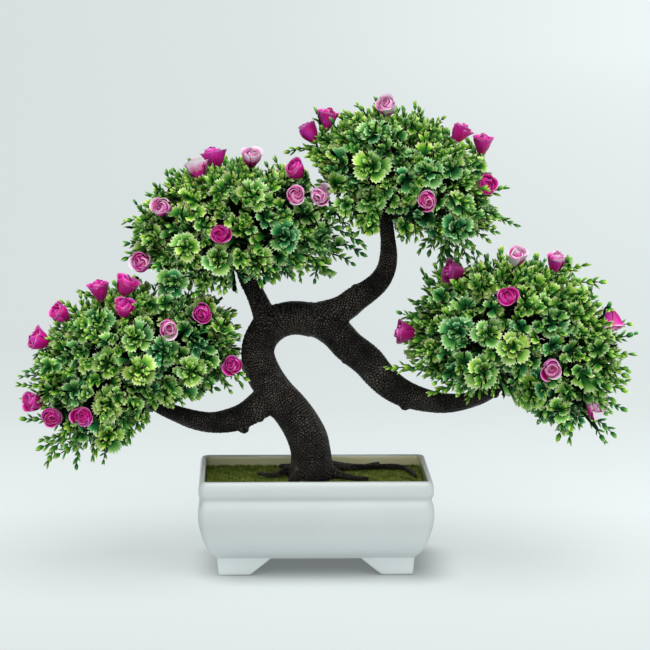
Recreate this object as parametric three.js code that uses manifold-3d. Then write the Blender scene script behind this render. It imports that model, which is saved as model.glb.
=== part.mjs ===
// Miniature rose bonsai in a footed pot, in millimetres.
// +X runs along the pot's length, +Y to its back and +Z up; the pot stands on Z = 0.
import * as THREE from "three";
import { mergeVertices } from "three/addons/utils/BufferGeometryUtils.js";
import Module from "manifold-3d";

const wasm = await Module();
wasm.setup();

// Pot
const POT_LENGTH = 100;
const POT_DEPTH = 60.4;
const POT_HEIGHT = 42;
const POT_WALL = 1.5;
const POT_CORNER = 3.2;
const RIM_INSET = 1.4;
const TUB_UNDERSIDE = 7;
const TUB_FLOOR = 9.8;
const FOOT_BOTTOM = { length: 13.5, depth: 10 };
const FOOT_TOP = { length: 23, depth: 16 };
const FOOT_INSET = 8.5;
// How far the outer wall lies inside the belly line at each height
const POT_PROFILE = [
  { z: TUB_UNDERSIDE, inset: 7.8 },
  { z: 9.9, inset: 7.5 },
  { z: 10.7, inset: 5.6 },
  { z: 13, inset: 4.2 },
  { z: 16.3, inset: 2.5 },
  { z: 21, inset: 0.8 },
  { z: 27, inset: 0 },
  { z: 32, inset: 0.5 },
  { z: 33.4, inset: 1.2 },
  { z: 34.6, inset: 1.1 },
  { z: 36, inset: 0.4 },
  { z: 38.5, inset: 0.3 },
  { z: 40.8, inset: 0.7 },
  { z: POT_HEIGHT, inset: RIM_INSET },
];

// Filler and moss inside the pot
const CLEARANCE = 0.3;
const FILLER_TOP = 35.6;
const MOSS_BOTTOM = FILLER_TOP + CLEARANCE;
const MOSS_TOP = 37.3;
const MOSS_BUMP = 0.3;
// How far a cutting rod reaches past what it cuts
const CUT_MARGIN = 5;

// Trunk
const TRUNK_FOOT = MOSS_BOTTOM;
const PEG_RADIUS = 5.5;
const PEG_BOTTOM = 20;
const PEG_SIDES = 16;
const TRUNK_SIDES = 9;
const LIMB_SIDES = 7;
const ROOT_SIDES = 5;
const KNUCKLE_RADIUS = 4.4;
const SOCKET_RADIUS = 1.6;
const SOCKET_DEPTH = 2.6;
const STEM_RADIUS = 1.15;

// Leaves: a rosette is a fan of toothed leaflets, a sprig a small star of narrow ones
const ROSETTE = { radius: 13, leaflets: 5, teeth: 2, waist: 0.5, notch: 0.84, droop: 0.14 };
const SPRIG = { radius: 9.5, leaflets: 5, teeth: 1, waist: 0.28, notch: 0.8, droop: -0.1 };
const BLADE = 0.9;
// The share of a leaflet's width that its teeth are spread over
const TOOTH_SPREAD = 0.86;
const TWIG_RADIUS = 0.8;
const LEAN = 0.6;
const LEAF_SINK = 0.28;
const SAME_SPRAY_SPACING = 1.68;
const LEAF_HALF_DEPTH = 2;
const LEAF_GAP = 0.8;
const CANDIDATES = 1500;
const CORE_SHARE = 0.56;
// Where twigs start: the share of the core they reach down to, and how far they keep from its cut sides
const TWIG_ROOT_SHARE = 0.86;
const TWIG_ROOT_MARGIN = 2.4;
// How softly neighbouring heads run into one crown; a larger number gives a sharper valley
const BLEND = 5;
// A multiple of a head's half size that is always outside the crown
const OUTSIDE = 1.4;

// Rosebuds
const BUD_HEIGHT = 9.6;
const BUD_RADIUS = 4.7;
const BUD_GAP = 0.6;
// Where a bud is widest, as a share of its height
const BUD_WAIST = 0.55;
// How far a bud turns from the crown's outward direction towards the viewer's side, and up
const BUD_TURN = 0.35;
const BUD_LIFT = 0.12;

// Each head of leaves is a rounded body about a centre. Its outline, seen from the front, is given
// by its reach at every 30 degrees, counted from +X towards +Z; depth is its half size along Y.
const HEADS = [
  {
    name: "left_low",
    centre: [-79, -4, 90],
    depth: 40,
    reach: [49, 51, 39, 36, 33, 37, 43, 45, 45, 34, 26, 31],
  },
  {
    name: "left_high",
    centre: [-34, 6, 147],
    depth: 40,
    reach: [47, 42, 28, 30, 32, 38, 46, 46, 33, 28, 29, 39],
  },
  {
    name: "top",
    centre: [36, 4, 166],
    depth: 42,
    reach: [42, 35, 31, 33, 36, 42, 41, 34, 26, 26, 30, 46],
  },
  {
    name: "right",
    centre: [85, -5, 103],
    depth: 44,
    reach: [46, 38, 35, 34, 38, 43, 49, 45, 28, 31, 51, 54],
  },
];
// Directions in which a head's three sprays spread, in degrees from +X towards +Y
const SPRAY_HEADINGS = [205, 335, 90];

// Limbs: points x, y, z and radius; bare says how many points from the start show below the leaves
const LIMBS = [
  {
    bare: 14,
    sides: TRUNK_SIDES,
    points: [
      [-1.5, 0, 35, 10.8],
      [-1.4, 0, 43, 9.2],
      [-1.6, -1, 49, 8.6],
      [-2.9, -2, 55.3, 8.6],
      [-5.9, -3, 61.4, 8.3],
      [-10.7, -3, 68.4, 8],
      [-16.7, -2, 75.4, 7.7],
      [-21.8, -1, 83.3, 7.5],
      [-24.4, 0, 91, 7.1],
      [-23.4, 1, 97.6, 7.1],
      [-19.2, 1, 103.7, 7.4],
      [-13.2, 0, 107.1, 7.1],
      [-6.4, 0, 107.6, 6.8],
      [2.1, 0, 105.8, 7],
    ],
  },
  {
    bare: 12,
    sides: LIMB_SIDES,
    points: [
      [-1, 0, 106.7, 6.2],
      [8.6, -1, 101.5, 6],
      [14.6, -2, 95.4, 5.8],
      [22.3, -3, 89.3, 6.1],
      [27.1, -4, 84, 6],
      [33.1, -4, 78.4, 5.8],
      [40.1, -4, 74.4, 5.6],
      [49.6, -4, 71.8, 4.7],
      [59, -5, 71.3, 4],
      [68.5, -5, 73, 3.3],
      [75.8, -5, 76.9, 3],
      [81.5, -5, 84, 2.8],
      [84.5, -5, 93, 2.8],
      [85, -5, 103, 2.8],
    ],
  },
  {
    bare: 10,
    sides: LIMB_SIDES,
    points: [
      [-1, 0, 107.5, 6],
      [11.1, 1, 111, 5.6],
      [17.9, 1, 115.7, 5.1],
      [23, 0, 119.2, 4.5],
      [27.3, -1, 123.5, 4.1],
      [30.2, -3, 129.1, 3.7],
      [31.1, -5, 135.1, 3.4],
      [30.8, -6, 141.1, 3.2],
      [30.1, -5, 147.1, 3],
      [30.1, -2, 153.1, 3],
      [32, 2, 160, 2.8],
      [36, 4, 166, 2.8],
    ],
  },
  {
    bare: 7,
    sides: LIMB_SIDES,
    points: [
      [-21, -1, 72, 6.4],
      [-29.1, -2, 66.3, 5.5],
      [-35.6, -3, 63.7, 5.2],
      [-43.7, -4, 62.9, 4.5],
      [-51.9, -4, 64.2, 4.1],
      [-58.7, -4, 66.4, 3.5],
      [-66, -4, 69.5, 3],
      [-73, -4, 74.5, 2.8],
      [-77.5, -4, 82, 2.8],
      [-79, -4, 90, 2.8],
    ],
  },
  {
    bare: 4,
    sides: LIMB_SIDES,
    points: [
      [-20, 0, 104, 5.2],
      [-23.9, 0, 114.1, 4.3],
      [-26.5, 1, 119.7, 3.8],
      [-29, 2, 124, 3.4],
      [-31, 4, 131, 3],
      [-33, 5, 139, 2.8],
      [-34, 6, 147, 2.8],
    ],
  },
  {
    bare: 4,
    sides: 8,
    points: [
      [29.6, -4, 150.5, 2.4],
      [36.1, -7, 150.9, 1.8],
      [42.5, -9, 149.7, 1.6],
      [47, -10, 148.4, 1.3],
    ],
  },
];
const ROOTS = [
  [
    [-7, 1, 42, 3.4],
    [-12, 2, 40.6, 1.8],
    [-18, -2, 39.4, 1.2],
    [-25, -4, 40.6, 1],
  ],
  [
    [4, 6, 42, 3.2],
    [10, 11, 40.4, 2.2],
    [17, 13.5, 39.6, 1.5],
    [26, 14, 39.4, 1.3],
    [34, 15, 39.5, 1.3],
    [39.5, 12, 39.4, 1.2],
    [42, 5, 39.2, 1.1],
    [43.5, -4, 39.1, 0.9],
  ],
  [
    [22, 14, 39.6, 1.2],
    [26, 18, 39.8, 1],
    [29, 22, 39.6, 0.8],
  ],
  [
    [5, -3, 42, 3],
    [11, -5, 40, 1.8],
    [17, -8, 39.3, 1.3],
    [23, -9.5, 39.1, 1],
  ],
  [
    [-6, -5, 42, 3.4],
    [-9, -10, 40, 2],
    [-11, -15, 39.2, 1.1],
  ],
  [
    [-5, 6, 42, 3.2],
    [-9, 12, 40, 1.9],
    [-15, 17, 39.3, 1.1],
  ],
];
// Burrs on the bark: place and radius
const BURRS = [
  [13.5, -6.5, 91, 2.6],
  [-30.5, -5, 60.5, 2.4],
  [-24, -7, 66, 2.6],
  [38.5, -7, 71, 2.6],
  [17.5, -3, 120.2, 2.4],
  [77, -7.5, 75.5, 1.9],
  [-17.5, -6.5, 84, 2.6],
];

// Rosebuds by the head they grow on: x and z of the bud seen from the front
const FRONT_BUDS = {
  left_low: [
    [-80, 124],
    [-91, 121],
    [-80, 116],
    [-107, 111],
    [-116, 100],
    [-62, 109],
    [-48, 114],
    [-35, 91],
    [-119, 74],
    [-110, 70],
    [-97, 73],
  ],
  left_high: [
    [-8, 172],
    [-9, 162],
    [1, 163],
    [-27, 175],
    [-43, 176],
    [-50, 172],
    [-64, 157],
    [-40, 148],
    [-73, 134],
  ],
  top: [
    [30, 198],
    [-2, 186],
    [5, 192],
    [60, 187],
    [71, 181],
    [71, 166],
    [45, 162],
  ],
  right: [
    [58, 130],
    [84, 136],
    [101, 133],
    [38, 104],
    [78, 122],
    [124, 110],
    [96, 93],
    [117, 72],
  ],
};
const BACK_BUDS = {
  left_low: [
    [-98, 96],
    [-66, 84],
  ],
  left_high: [
    [-50, 154],
    [-20, 140],
  ],
  top: [
    [48, 178],
    [20, 168],
  ],
  right: [
    [106, 112],
    [66, 108],
    [92, 84],
  ],
};

const SEED = 20;

// A repeatable stream of numbers from 0 to 1
function randomStream(seed) {
  let state = seed;
  return () => {
    state = (state * 16807) % 2147483647;
    return state / 2147483647;
  };
}

function solidOf(geometry) {
  const bare = geometry.clone();
  bare.deleteAttribute("normal");
  bare.deleteAttribute("uv");
  const merged = mergeVertices(bare, 1e-4);
  return new wasm.Manifold(
    new wasm.Mesh({
      numProp: 3,
      vertProperties: new Float32Array(merged.attributes.position.array),
      triVerts: new Uint32Array(merged.index.array),
    }),
  );
}

function union(solids) {
  return solids.reduce((whole, piece) => whole.add(piece));
}

// The largest body of a solid, without the loose scraps that a cut can leave
function mainBody(solid) {
  const bodies = solid.decompose();
  return bodies.reduce((best, body) => (body.volume() > best.volume() ? body : best));
}

function meshOf(name, solid, material) {
  const made = solid.getMesh();
  const geometry = new THREE.BufferGeometry();
  geometry.setAttribute("position", new THREE.BufferAttribute(made.vertProperties, 3));
  geometry.setIndex(new THREE.BufferAttribute(made.triVerts, 1));
  geometry.computeVertexNormals();
  const mesh = new THREE.Mesh(geometry, material);
  mesh.name = name;
  return mesh;
}

function geometryOf(vertices, triangles) {
  const geometry = new THREE.BufferGeometry();
  const flat = vertices.flatMap((v) => [v.x, v.y, v.z]);
  geometry.setAttribute("position", new THREE.Float32BufferAttribute(flat, 3));
  geometry.setIndex(triangles.flat());
  return geometry;
}

// A closed skin over rings of equal length, each end closed by a fan about its own point
function skin(rings, startPoint, endPoint) {
  const count = rings[0].length;
  const vertices = [...rings.flat(), startPoint, endPoint];
  const start = rings.length * count;
  const end = start + 1;
  const triangles = [];
  for (let i = 0; i < count; i++) {
    const j = (i + 1) % count;
    triangles.push([start, j, i]);
    for (let k = 0; k + 1 < rings.length; k++) {
      const low = k * count;
      const high = low + count;
      triangles.push([low + i, low + j, high + j]);
      triangles.push([low + i, high + j, high + i]);
    }
    const last = (rings.length - 1) * count;
    triangles.push([end, last + i, last + j]);
  }
  return geometryOf(vertices, triangles);
}

// Rounded rectangle, anticlockwise seen from above
function rectangleRing(halfLength, halfDepth, corner, z, perCorner = 2) {
  const ring = [];
  const signs = [
    [1, 1],
    [-1, 1],
    [-1, -1],
    [1, -1],
  ];
  signs.forEach(([sx, sy], quarter) => {
    for (let i = 0; i <= perCorner; i++) {
      const angle = (Math.PI / 2) * (quarter + i / perCorner);
      ring.push(
        new THREE.Vector3(
          sx * (halfLength - corner) + corner * Math.cos(angle),
          sy * (halfDepth - corner) + corner * Math.sin(angle),
          z,
        ),
      );
    }
  });
  return ring;
}

function stack(rings) {
  const centre = (ring) => new THREE.Vector3(0, 0, ring[0].z);
  return skin(rings, centre(rings[0]), centre(rings[rings.length - 1]));
}

// Outer wall inset at a height, between the profile's points
function potInset(z) {
  const upper = POT_PROFILE.findIndex((p) => p.z >= z);
  const [a, b] = [POT_PROFILE[upper - 1], POT_PROFILE[upper]];
  return a.inset + ((b.inset - a.inset) * (z - a.z)) / (b.z - a.z);
}

function cavityInset(z) {
  return Math.max(potInset(z), RIM_INSET) + POT_WALL;
}

function potRing(z, inset) {
  const corner = Math.max(POT_CORNER - inset / 3, 1.2);
  return rectangleRing(POT_LENGTH / 2 - inset, POT_DEPTH / 2 - inset, corner, z);
}

function makePot() {
  const rings = POT_PROFILE.map(({ z, inset }) => potRing(z, inset));
  const cavity = [POT_HEIGHT - 0.4, 34, 24, 15, TUB_FLOOR + 1.5];
  rings.push(potRing(POT_HEIGHT, RIM_INSET + POT_WALL - 0.4));
  for (const z of cavity) {
    rings.push(potRing(z, cavityInset(z)));
  }
  rings.push(potRing(TUB_FLOOR, POT_PROFILE[2].inset + POT_WALL + 1));
  const feet = [];
  for (const sx of [-1, 1]) {
    for (const sy of [-1, 1]) {
      feet.push(solidOf(makeFoot(sx, sy)));
    }
  }
  return union([solidOf(stack(rings)), ...feet]);
}

// A corner foot: its two outer sides are nearly upright, its two inner ones slant out to the top
function makeFoot(sx, sy) {
  const outerX = POT_LENGTH / 2 - FOOT_INSET;
  const outerY = POT_DEPTH / 2 - FOOT_INSET;
  const slab = (z, size, flare) =>
    [
      [outerX + flare, outerY + flare],
      [outerX - size.length, outerY + flare],
      [outerX - size.length, outerY - size.depth],
      [outerX + flare, outerY - size.depth],
    ].map(([x, y]) => new THREE.Vector3(sx * x, sy * y, z));
  const rings = [slab(0, FOOT_BOTTOM, 0), slab(TUB_UNDERSIDE + 0.8, FOOT_TOP, 0.6)];
  if (sx * sy < 0) rings.forEach((ring) => ring.reverse());
  const middle = (ring) =>
    ring.reduce((sum, v) => sum.add(v), new THREE.Vector3()).divideScalar(ring.length);
  return skin(rings, middle(rings[0]), middle(rings[1]));
}

function makeFiller() {
  const heights = [TUB_FLOOR + 1.8, 15, 24, FILLER_TOP];
  const rings = heights.map((z) => potRing(z, cavityInset(z) + CLEARANCE + 0.2));
  rings.unshift(potRing(TUB_FLOOR + CLEARANCE, POT_PROFILE[2].inset + POT_WALL + 1.6));
  const hole = upright(PEG_RADIUS + CLEARANCE, PEG_BOTTOM - CLEARANCE, FILLER_TOP + CUT_MARGIN);
  return solidOf(stack(rings)).subtract(hole);
}

// A round upright rod between two heights, on the trunk's foot axis
function upright(radius, bottom, top) {
  const rod = new THREE.CylinderGeometry(radius, radius, top - bottom, PEG_SIDES);
  rod.rotateX(Math.PI / 2);
  const [x, y] = LIMBS[0].points[0];
  rod.translate(x, y, (bottom + top) / 2);
  return solidOf(rod);
}

// A thin mat whose top is a field of low bumps
function makeMoss() {
  const inset = cavityInset(MOSS_TOP) + CLEARANCE + 0.7;
  const mat = new THREE.BoxGeometry(
    POT_LENGTH - 2 * inset,
    POT_DEPTH - 2 * inset,
    MOSS_TOP - MOSS_BOTTOM,
    10,
    6,
    1,
  );
  mat.translate(0, 0, (MOSS_TOP + MOSS_BOTTOM) / 2);
  const place = mat.attributes.position;
  for (let i = 0; i < place.count; i++) {
    if (place.getZ(i) < MOSS_TOP - 0.1) continue;
    const [x, y] = [place.getX(i), place.getY(i)];
    const bump = Math.sin(x * 0.31 + 1) * Math.cos(y * 0.42) + 0.5 * Math.sin(x * 0.83 + y * 0.6);
    place.setZ(i, MOSS_TOP + MOSS_BUMP * bump);
  }
  const hole = LIMBS[0].points[0][3] + CLEARANCE + 0.6;
  return solidOf(mat).subtract(upright(hole, MOSS_BOTTOM - CUT_MARGIN, MOSS_TOP + CUT_MARGIN));
}

// A tapering round limb along a smooth line through points that carry their own radius
function limbGeometry(points, sides, grow = 0) {
  const line = new THREE.CatmullRomCurve3(points.map(([x, y, z]) => new THREE.Vector3(x, y, z)));
  const girth = new THREE.CatmullRomCurve3(points.map((p) => new THREE.Vector3(p[3], 0, 0)));
  const steps = points.length - 1;
  const rings = [];
  let side = null;
  let before = null;
  for (let i = 0; i <= steps; i++) {
    const t = i / steps;
    const along = line.getTangent(t);
    if (side === null) {
      const helper = Math.abs(along.z) < 0.9 ? new THREE.Vector3(0, 0, 1) : new THREE.Vector3(1, 0, 0);
      side = helper.clone().cross(along).normalize();
    } else {
      side.applyQuaternion(new THREE.Quaternion().setFromUnitVectors(before, along)).normalize();
    }
    before = along;
    const up = along.clone().cross(side);
    const middle = line.getPoint(t);
    const radius = girth.getPoint(t).x + grow;
    const ring = [];
    for (let k = 0; k < sides; k++) {
      const angle = (2 * Math.PI * k) / sides;
      const ridge = grow > 0 ? 1 : 1 + 0.05 * Math.sin(3 * angle + i * 0.9);
      ring.push(
        middle
          .clone()
          .addScaledVector(side, radius * ridge * Math.cos(angle))
          .addScaledVector(up, radius * ridge * Math.sin(angle)),
      );
    }
    rings.push(ring);
  }
  const first = line.getPoint(0).addScaledVector(line.getTangent(0), -grow);
  const last = line.getPoint(1).addScaledVector(line.getTangent(1), girth.getPoint(1).x * 0.7 + grow);
  return skin(rings, first, last);
}

function ball(centre, radius, detail = 1) {
  const geometry = new THREE.IcosahedronGeometry(radius, detail);
  geometry.translate(...centre);
  return solidOf(geometry);
}

// A straight rod from one point to another
function rod(from, to, radius, sides) {
  const length = from.distanceTo(to);
  const geometry = new THREE.CylinderGeometry(radius, radius, length, sides);
  const direction = to.clone().sub(from).normalize();
  geometry.applyQuaternion(
    new THREE.Quaternion().setFromUnitVectors(new THREE.Vector3(0, 1, 0), direction),
  );
  geometry.translate(...from.clone().add(to).multiplyScalar(0.5).toArray());
  return solidOf(geometry);
}

function sprayAxis(heading) {
  const angle = THREE.MathUtils.degToRad(heading);
  return new THREE.Vector3(Math.cos(angle), Math.sin(angle), 0);
}

function headCentre(head) {
  return new THREE.Vector3(...head.centre);
}

function makeTrunk() {
  const pieces = LIMBS.map((limb) => solidOf(limbGeometry(limb.points, limb.sides)));
  pieces.push(...ROOTS.map((points) => solidOf(limbGeometry(points, ROOT_SIDES))));
  pieces.push(...BURRS.map(([x, y, z, r]) => ball([x, y, z], r, 0)));
  pieces.push(...HEADS.map((head) => ball(head.centre, KNUCKLE_RADIUS, 0)));
  const sockets = HEADS.flatMap((head) =>
    SPRAY_HEADINGS.map((heading) => {
      const axis = sprayAxis(heading);
      const from = headCentre(head).addScaledVector(axis, KNUCKLE_RADIUS - SOCKET_DEPTH);
      const to = headCentre(head).addScaledVector(axis, KNUCKLE_RADIUS + 3);
      return rod(from, to, SOCKET_RADIUS, 6);
    }),
  );
  const standing = union(pieces).trimByPlane([0, 0, 1], TRUNK_FOOT);
  const peg = upright(PEG_RADIUS, PEG_BOTTOM, TRUNK_FOOT + 3);
  return mainBody(standing.add(peg).subtract(union(sockets)));
}

// Reach of a head's outline at an angle, on a smooth closed curve through its twelve values
function reachAt(head, angle) {
  const count = head.reach.length;
  const turn = (((angle / (2 * Math.PI)) % 1) + 1) % 1;
  const place = turn * count;
  const index = Math.floor(place);
  const f = place - index;
  const [a, b, c, d] = [-1, 0, 1, 2].map((k) => head.reach[(index + k + count) % count]);
  return b + 0.5 * f * (c - a + f * (2 * a - 5 * b + 4 * c - d + f * (3 * (b - c) + d - a)));
}

// A point of a head's surface: angle runs round its outline, swell goes from front to back
function headPoint(head, angle, swell, share = 1) {
  const reach = reachAt(head, angle) * Math.cos(swell) * share;
  return headCentre(head).add(
    new THREE.Vector3(
      reach * Math.cos(angle),
      head.depth * Math.sin(swell) * share,
      reach * Math.sin(angle),
    ),
  );
}

// How deep a point lies in a head: below 1 is inside
function depthIn(head, point) {
  const away = point.clone().sub(headCentre(head));
  const reach = reachAt(head, Math.atan2(away.z, away.x));
  return Math.hypot(Math.hypot(away.x, away.z) / reach, away.y / head.depth);
}

// The same for the whole crown, with neighbouring heads blended where they meet
function crownDepth(point) {
  const sum = HEADS.reduce((total, head) => total + Math.exp(-BLEND * depthIn(head, point)), 0);
  return -Math.log(sum) / BLEND;
}

function crownNormal(point) {
  const step = 0.5;
  const slope = ["x", "y", "z"].map((axis) => {
    const ahead = point.clone();
    const behind = point.clone();
    ahead[axis] += step;
    behind[axis] -= step;
    return crownDepth(ahead) - crownDepth(behind);
  });
  return new THREE.Vector3(...slope).normalize();
}

// The crown's surface on a straight way from an inner point, or null where the way stays inside
function crownSurface(from, to) {
  if (crownDepth(to) < 1) return null;
  let [near, far] = [0, 1];
  for (let i = 0; i < 14; i++) {
    const middle = (near + far) / 2;
    if (crownDepth(from.clone().lerp(to, middle)) < 1) near = middle;
    else far = middle;
  }
  return from.clone().lerp(to, near);
}

// How far a point lies from a leaf's flat disc
function awayFromDisc(leaf, target) {
  const away = target.clone().sub(leaf.point);
  const height = away.dot(leaf.facing);
  const flat = Math.sqrt(Math.max(away.lengthSq() - height * height, 0));
  return Math.hypot(Math.max(flat - leaf.radius, 0), Math.max(Math.abs(height) - LEAF_HALF_DEPTH, 0));
}

// A limb stays bare to the front where the photo shows it, so no leaf grows before it
function hidesBareLimb(point, radius) {
  return LIMBS.some((limb) => {
    for (let i = 0; i + 1 < limb.bare; i++) {
      const [a, b] = [limb.points[i], limb.points[i + 1]];
      const flat = new THREE.Line3(new THREE.Vector3(a[0], 0, a[2]), new THREE.Vector3(b[0], 0, b[2]));
      const seen = new THREE.Vector3(point.x, 0, point.z);
      const near = flat.closestPointToPoint(seen, true, new THREE.Vector3());
      if (point.y < a[1] + 4 && near.distanceTo(seen) < b[3] + radius * 0.6) return true;
    }
    return false;
  });
}

function clearOfLimbs(leaf) {
  return LIMBS.every((limb) =>
    limb.points.every((b, i) => {
      const a = limb.points[Math.max(i - 1, 0)];
      return [0.25, 0.5, 0.75, 1].every((share) => {
        const at = [0, 1, 2].map((k) => a[k] + (b[k] - a[k]) * share);
        return awayFromDisc(leaf, new THREE.Vector3(...at)) > Math.max(a[3], b[3]) + 1.4;
      });
    }),
  );
}

// Which of a head's sprays a point belongs to: the one whose axis it leans to most
function sprayOf(head, point) {
  const away = point.clone().sub(headCentre(head));
  const leans = SPRAY_HEADINGS.map((heading) => sprayAxis(heading).dot(away));
  return leans.indexOf(Math.max(...leans));
}

// The planes between a spray and its two neighbours, as unit normals pointing into the spray
function sprayPlanes(index) {
  const own = sprayAxis(SPRAY_HEADINGS[index]);
  return SPRAY_HEADINGS.filter((_, i) => i !== index).map((heading) =>
    own.clone().sub(sprayAxis(heading)).normalize(),
  );
}

// A point pushed far enough into its spray to be inside that spray's core
function intoSpray(head, index, point) {
  const moved = point.clone();
  for (const normal of sprayPlanes(index)) {
    const inside = moved.clone().sub(headCentre(head)).dot(normal);
    if (inside < TWIG_ROOT_MARGIN) moved.addScaledVector(normal, TWIG_ROOT_MARGIN - inside);
  }
  return moved;
}

function placeBuds() {
  const buds = [];
  for (const head of HEADS) {
    const lists = [
      { places: FRONT_BUDS[head.name], side: -1 },
      { places: BACK_BUDS[head.name], side: 1 },
    ];
    for (const { places, side } of lists) {
      for (const [x, z] of places) {
        const middle = new THREE.Vector3(x, head.centre[1], z);
        const outside = middle.clone().setY(head.centre[1] + side * head.depth * OUTSIDE);
        const inside = crownDepth(middle) < 1;
        const seat = inside ? crownSurface(middle, outside) : middle;
        const turn = new THREE.Vector3(0, side * BUD_TURN, BUD_LIFT);
        const facing = crownNormal(seat).add(turn).normalize();
        const base = seat.clone().addScaledVector(facing, -BUD_HEIGHT / 2);
        buds.push({ head, base, facing, spray: sprayOf(head, base) });
      }
    }
  }
  return buds;
}

// Leaf places: walk over each head from front to back and take every place that is free
function placeLeaves(shape, taken, buds, random) {
  const leaves = [];
  const golden = Math.PI * (3 - Math.sqrt(5));
  for (const head of HEADS) {
    for (let i = 0; i < CANDIDATES; i++) {
      const swell = Math.asin(-1 + (2 * (i + 0.5)) / CANDIDATES);
      const angle = (i * golden) % (2 * Math.PI);
      const lean = [random() - 0.5, random() - 0.5, random() - 0.5];
      const spin = random() * 2 * Math.PI;
      const centre = headCentre(head);
      const surface = crownSurface(centre, headPoint(head, angle, swell, OUTSIDE));
      if (surface === null) continue;
      const normal = crownNormal(surface);
      const point = surface.clone().addScaledVector(normal, -shape.radius * LEAF_SINK);
      const spray = sprayOf(head, point);
      const facing = normal.clone().add(new THREE.Vector3(...lean).multiplyScalar(LEAN * 2)).normalize();
      const leaf = { head, spray, point, facing, spin, radius: shape.radius, shape };
      if (hidesBareLimb(point, shape.radius) || !clearOfLimbs(leaf)) continue;
      if ([...taken, ...leaves].some((other) => crowds(leaf, other))) continue;
      if (buds.some((bud) => meetsBud(leaf, bud))) continue;
      leaves.push(leaf);
    }
  }
  return leaves;
}

// Whether two leaves stand too close: on one spray they may overlap a little, on two they stay apart
function crowds(leaf, other) {
  const distance = leaf.point.distanceTo(other.point);
  const spacing = (leaf.radius + other.radius) / 2;
  if (distance < spacing * SAME_SPRAY_SPACING) return true;
  if (leaf.head === other.head && leaf.spray === other.spray) return false;
  if (distance > spacing * 2 + 2) return false;
  return reaches(leaf, other) || reaches(other, leaf);
}

// Whether a leaf's rim or twig comes near another leaf's disc
function reaches(leaf, other) {
  const across = new THREE.Vector3(0, 0, 1).cross(leaf.facing).normalize();
  const along = leaf.facing.clone().cross(across);
  for (let i = 0; i < 16; i++) {
    const angle = (Math.PI * i) / 8;
    const rim = leaf.point.clone();
    rim.addScaledVector(across, leaf.radius * Math.cos(angle));
    rim.addScaledVector(along, leaf.radius * Math.sin(angle));
    if (awayFromDisc(other, rim) < LEAF_GAP) return true;
  }
  const inward = headCentre(leaf.head).sub(leaf.point).normalize();
  return [0, 5, 10, 15].some((step) => {
    const twig = leaf.point.clone().addScaledVector(inward, step);
    return awayFromDisc(other, twig) < LEAF_GAP + TWIG_RADIUS;
  });
}

// Whether a leaf would touch a bud, or the stem of a bud that grows on another spray
function meetsBud(leaf, bud) {
  const middle = bud.base.clone().addScaledVector(bud.facing, BUD_HEIGHT * BUD_WAIST);
  if (awayFromDisc(leaf, middle) < BUD_RADIUS + 1.2) return true;
  if (awayFromDisc(leaf, bud.base.clone().addScaledVector(bud.facing, 1)) < 1.4) return true;
  if (bud.head === leaf.head && bud.spray === leaf.spray) return false;
  const inward = headCentre(bud.head).sub(bud.base).normalize();
  return [0, 4, 8, 12, 16].some((step) => {
    return awayFromDisc(leaf, bud.base.clone().addScaledVector(inward, step)) < LEAF_GAP + TWIG_RADIUS;
  });
}

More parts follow.
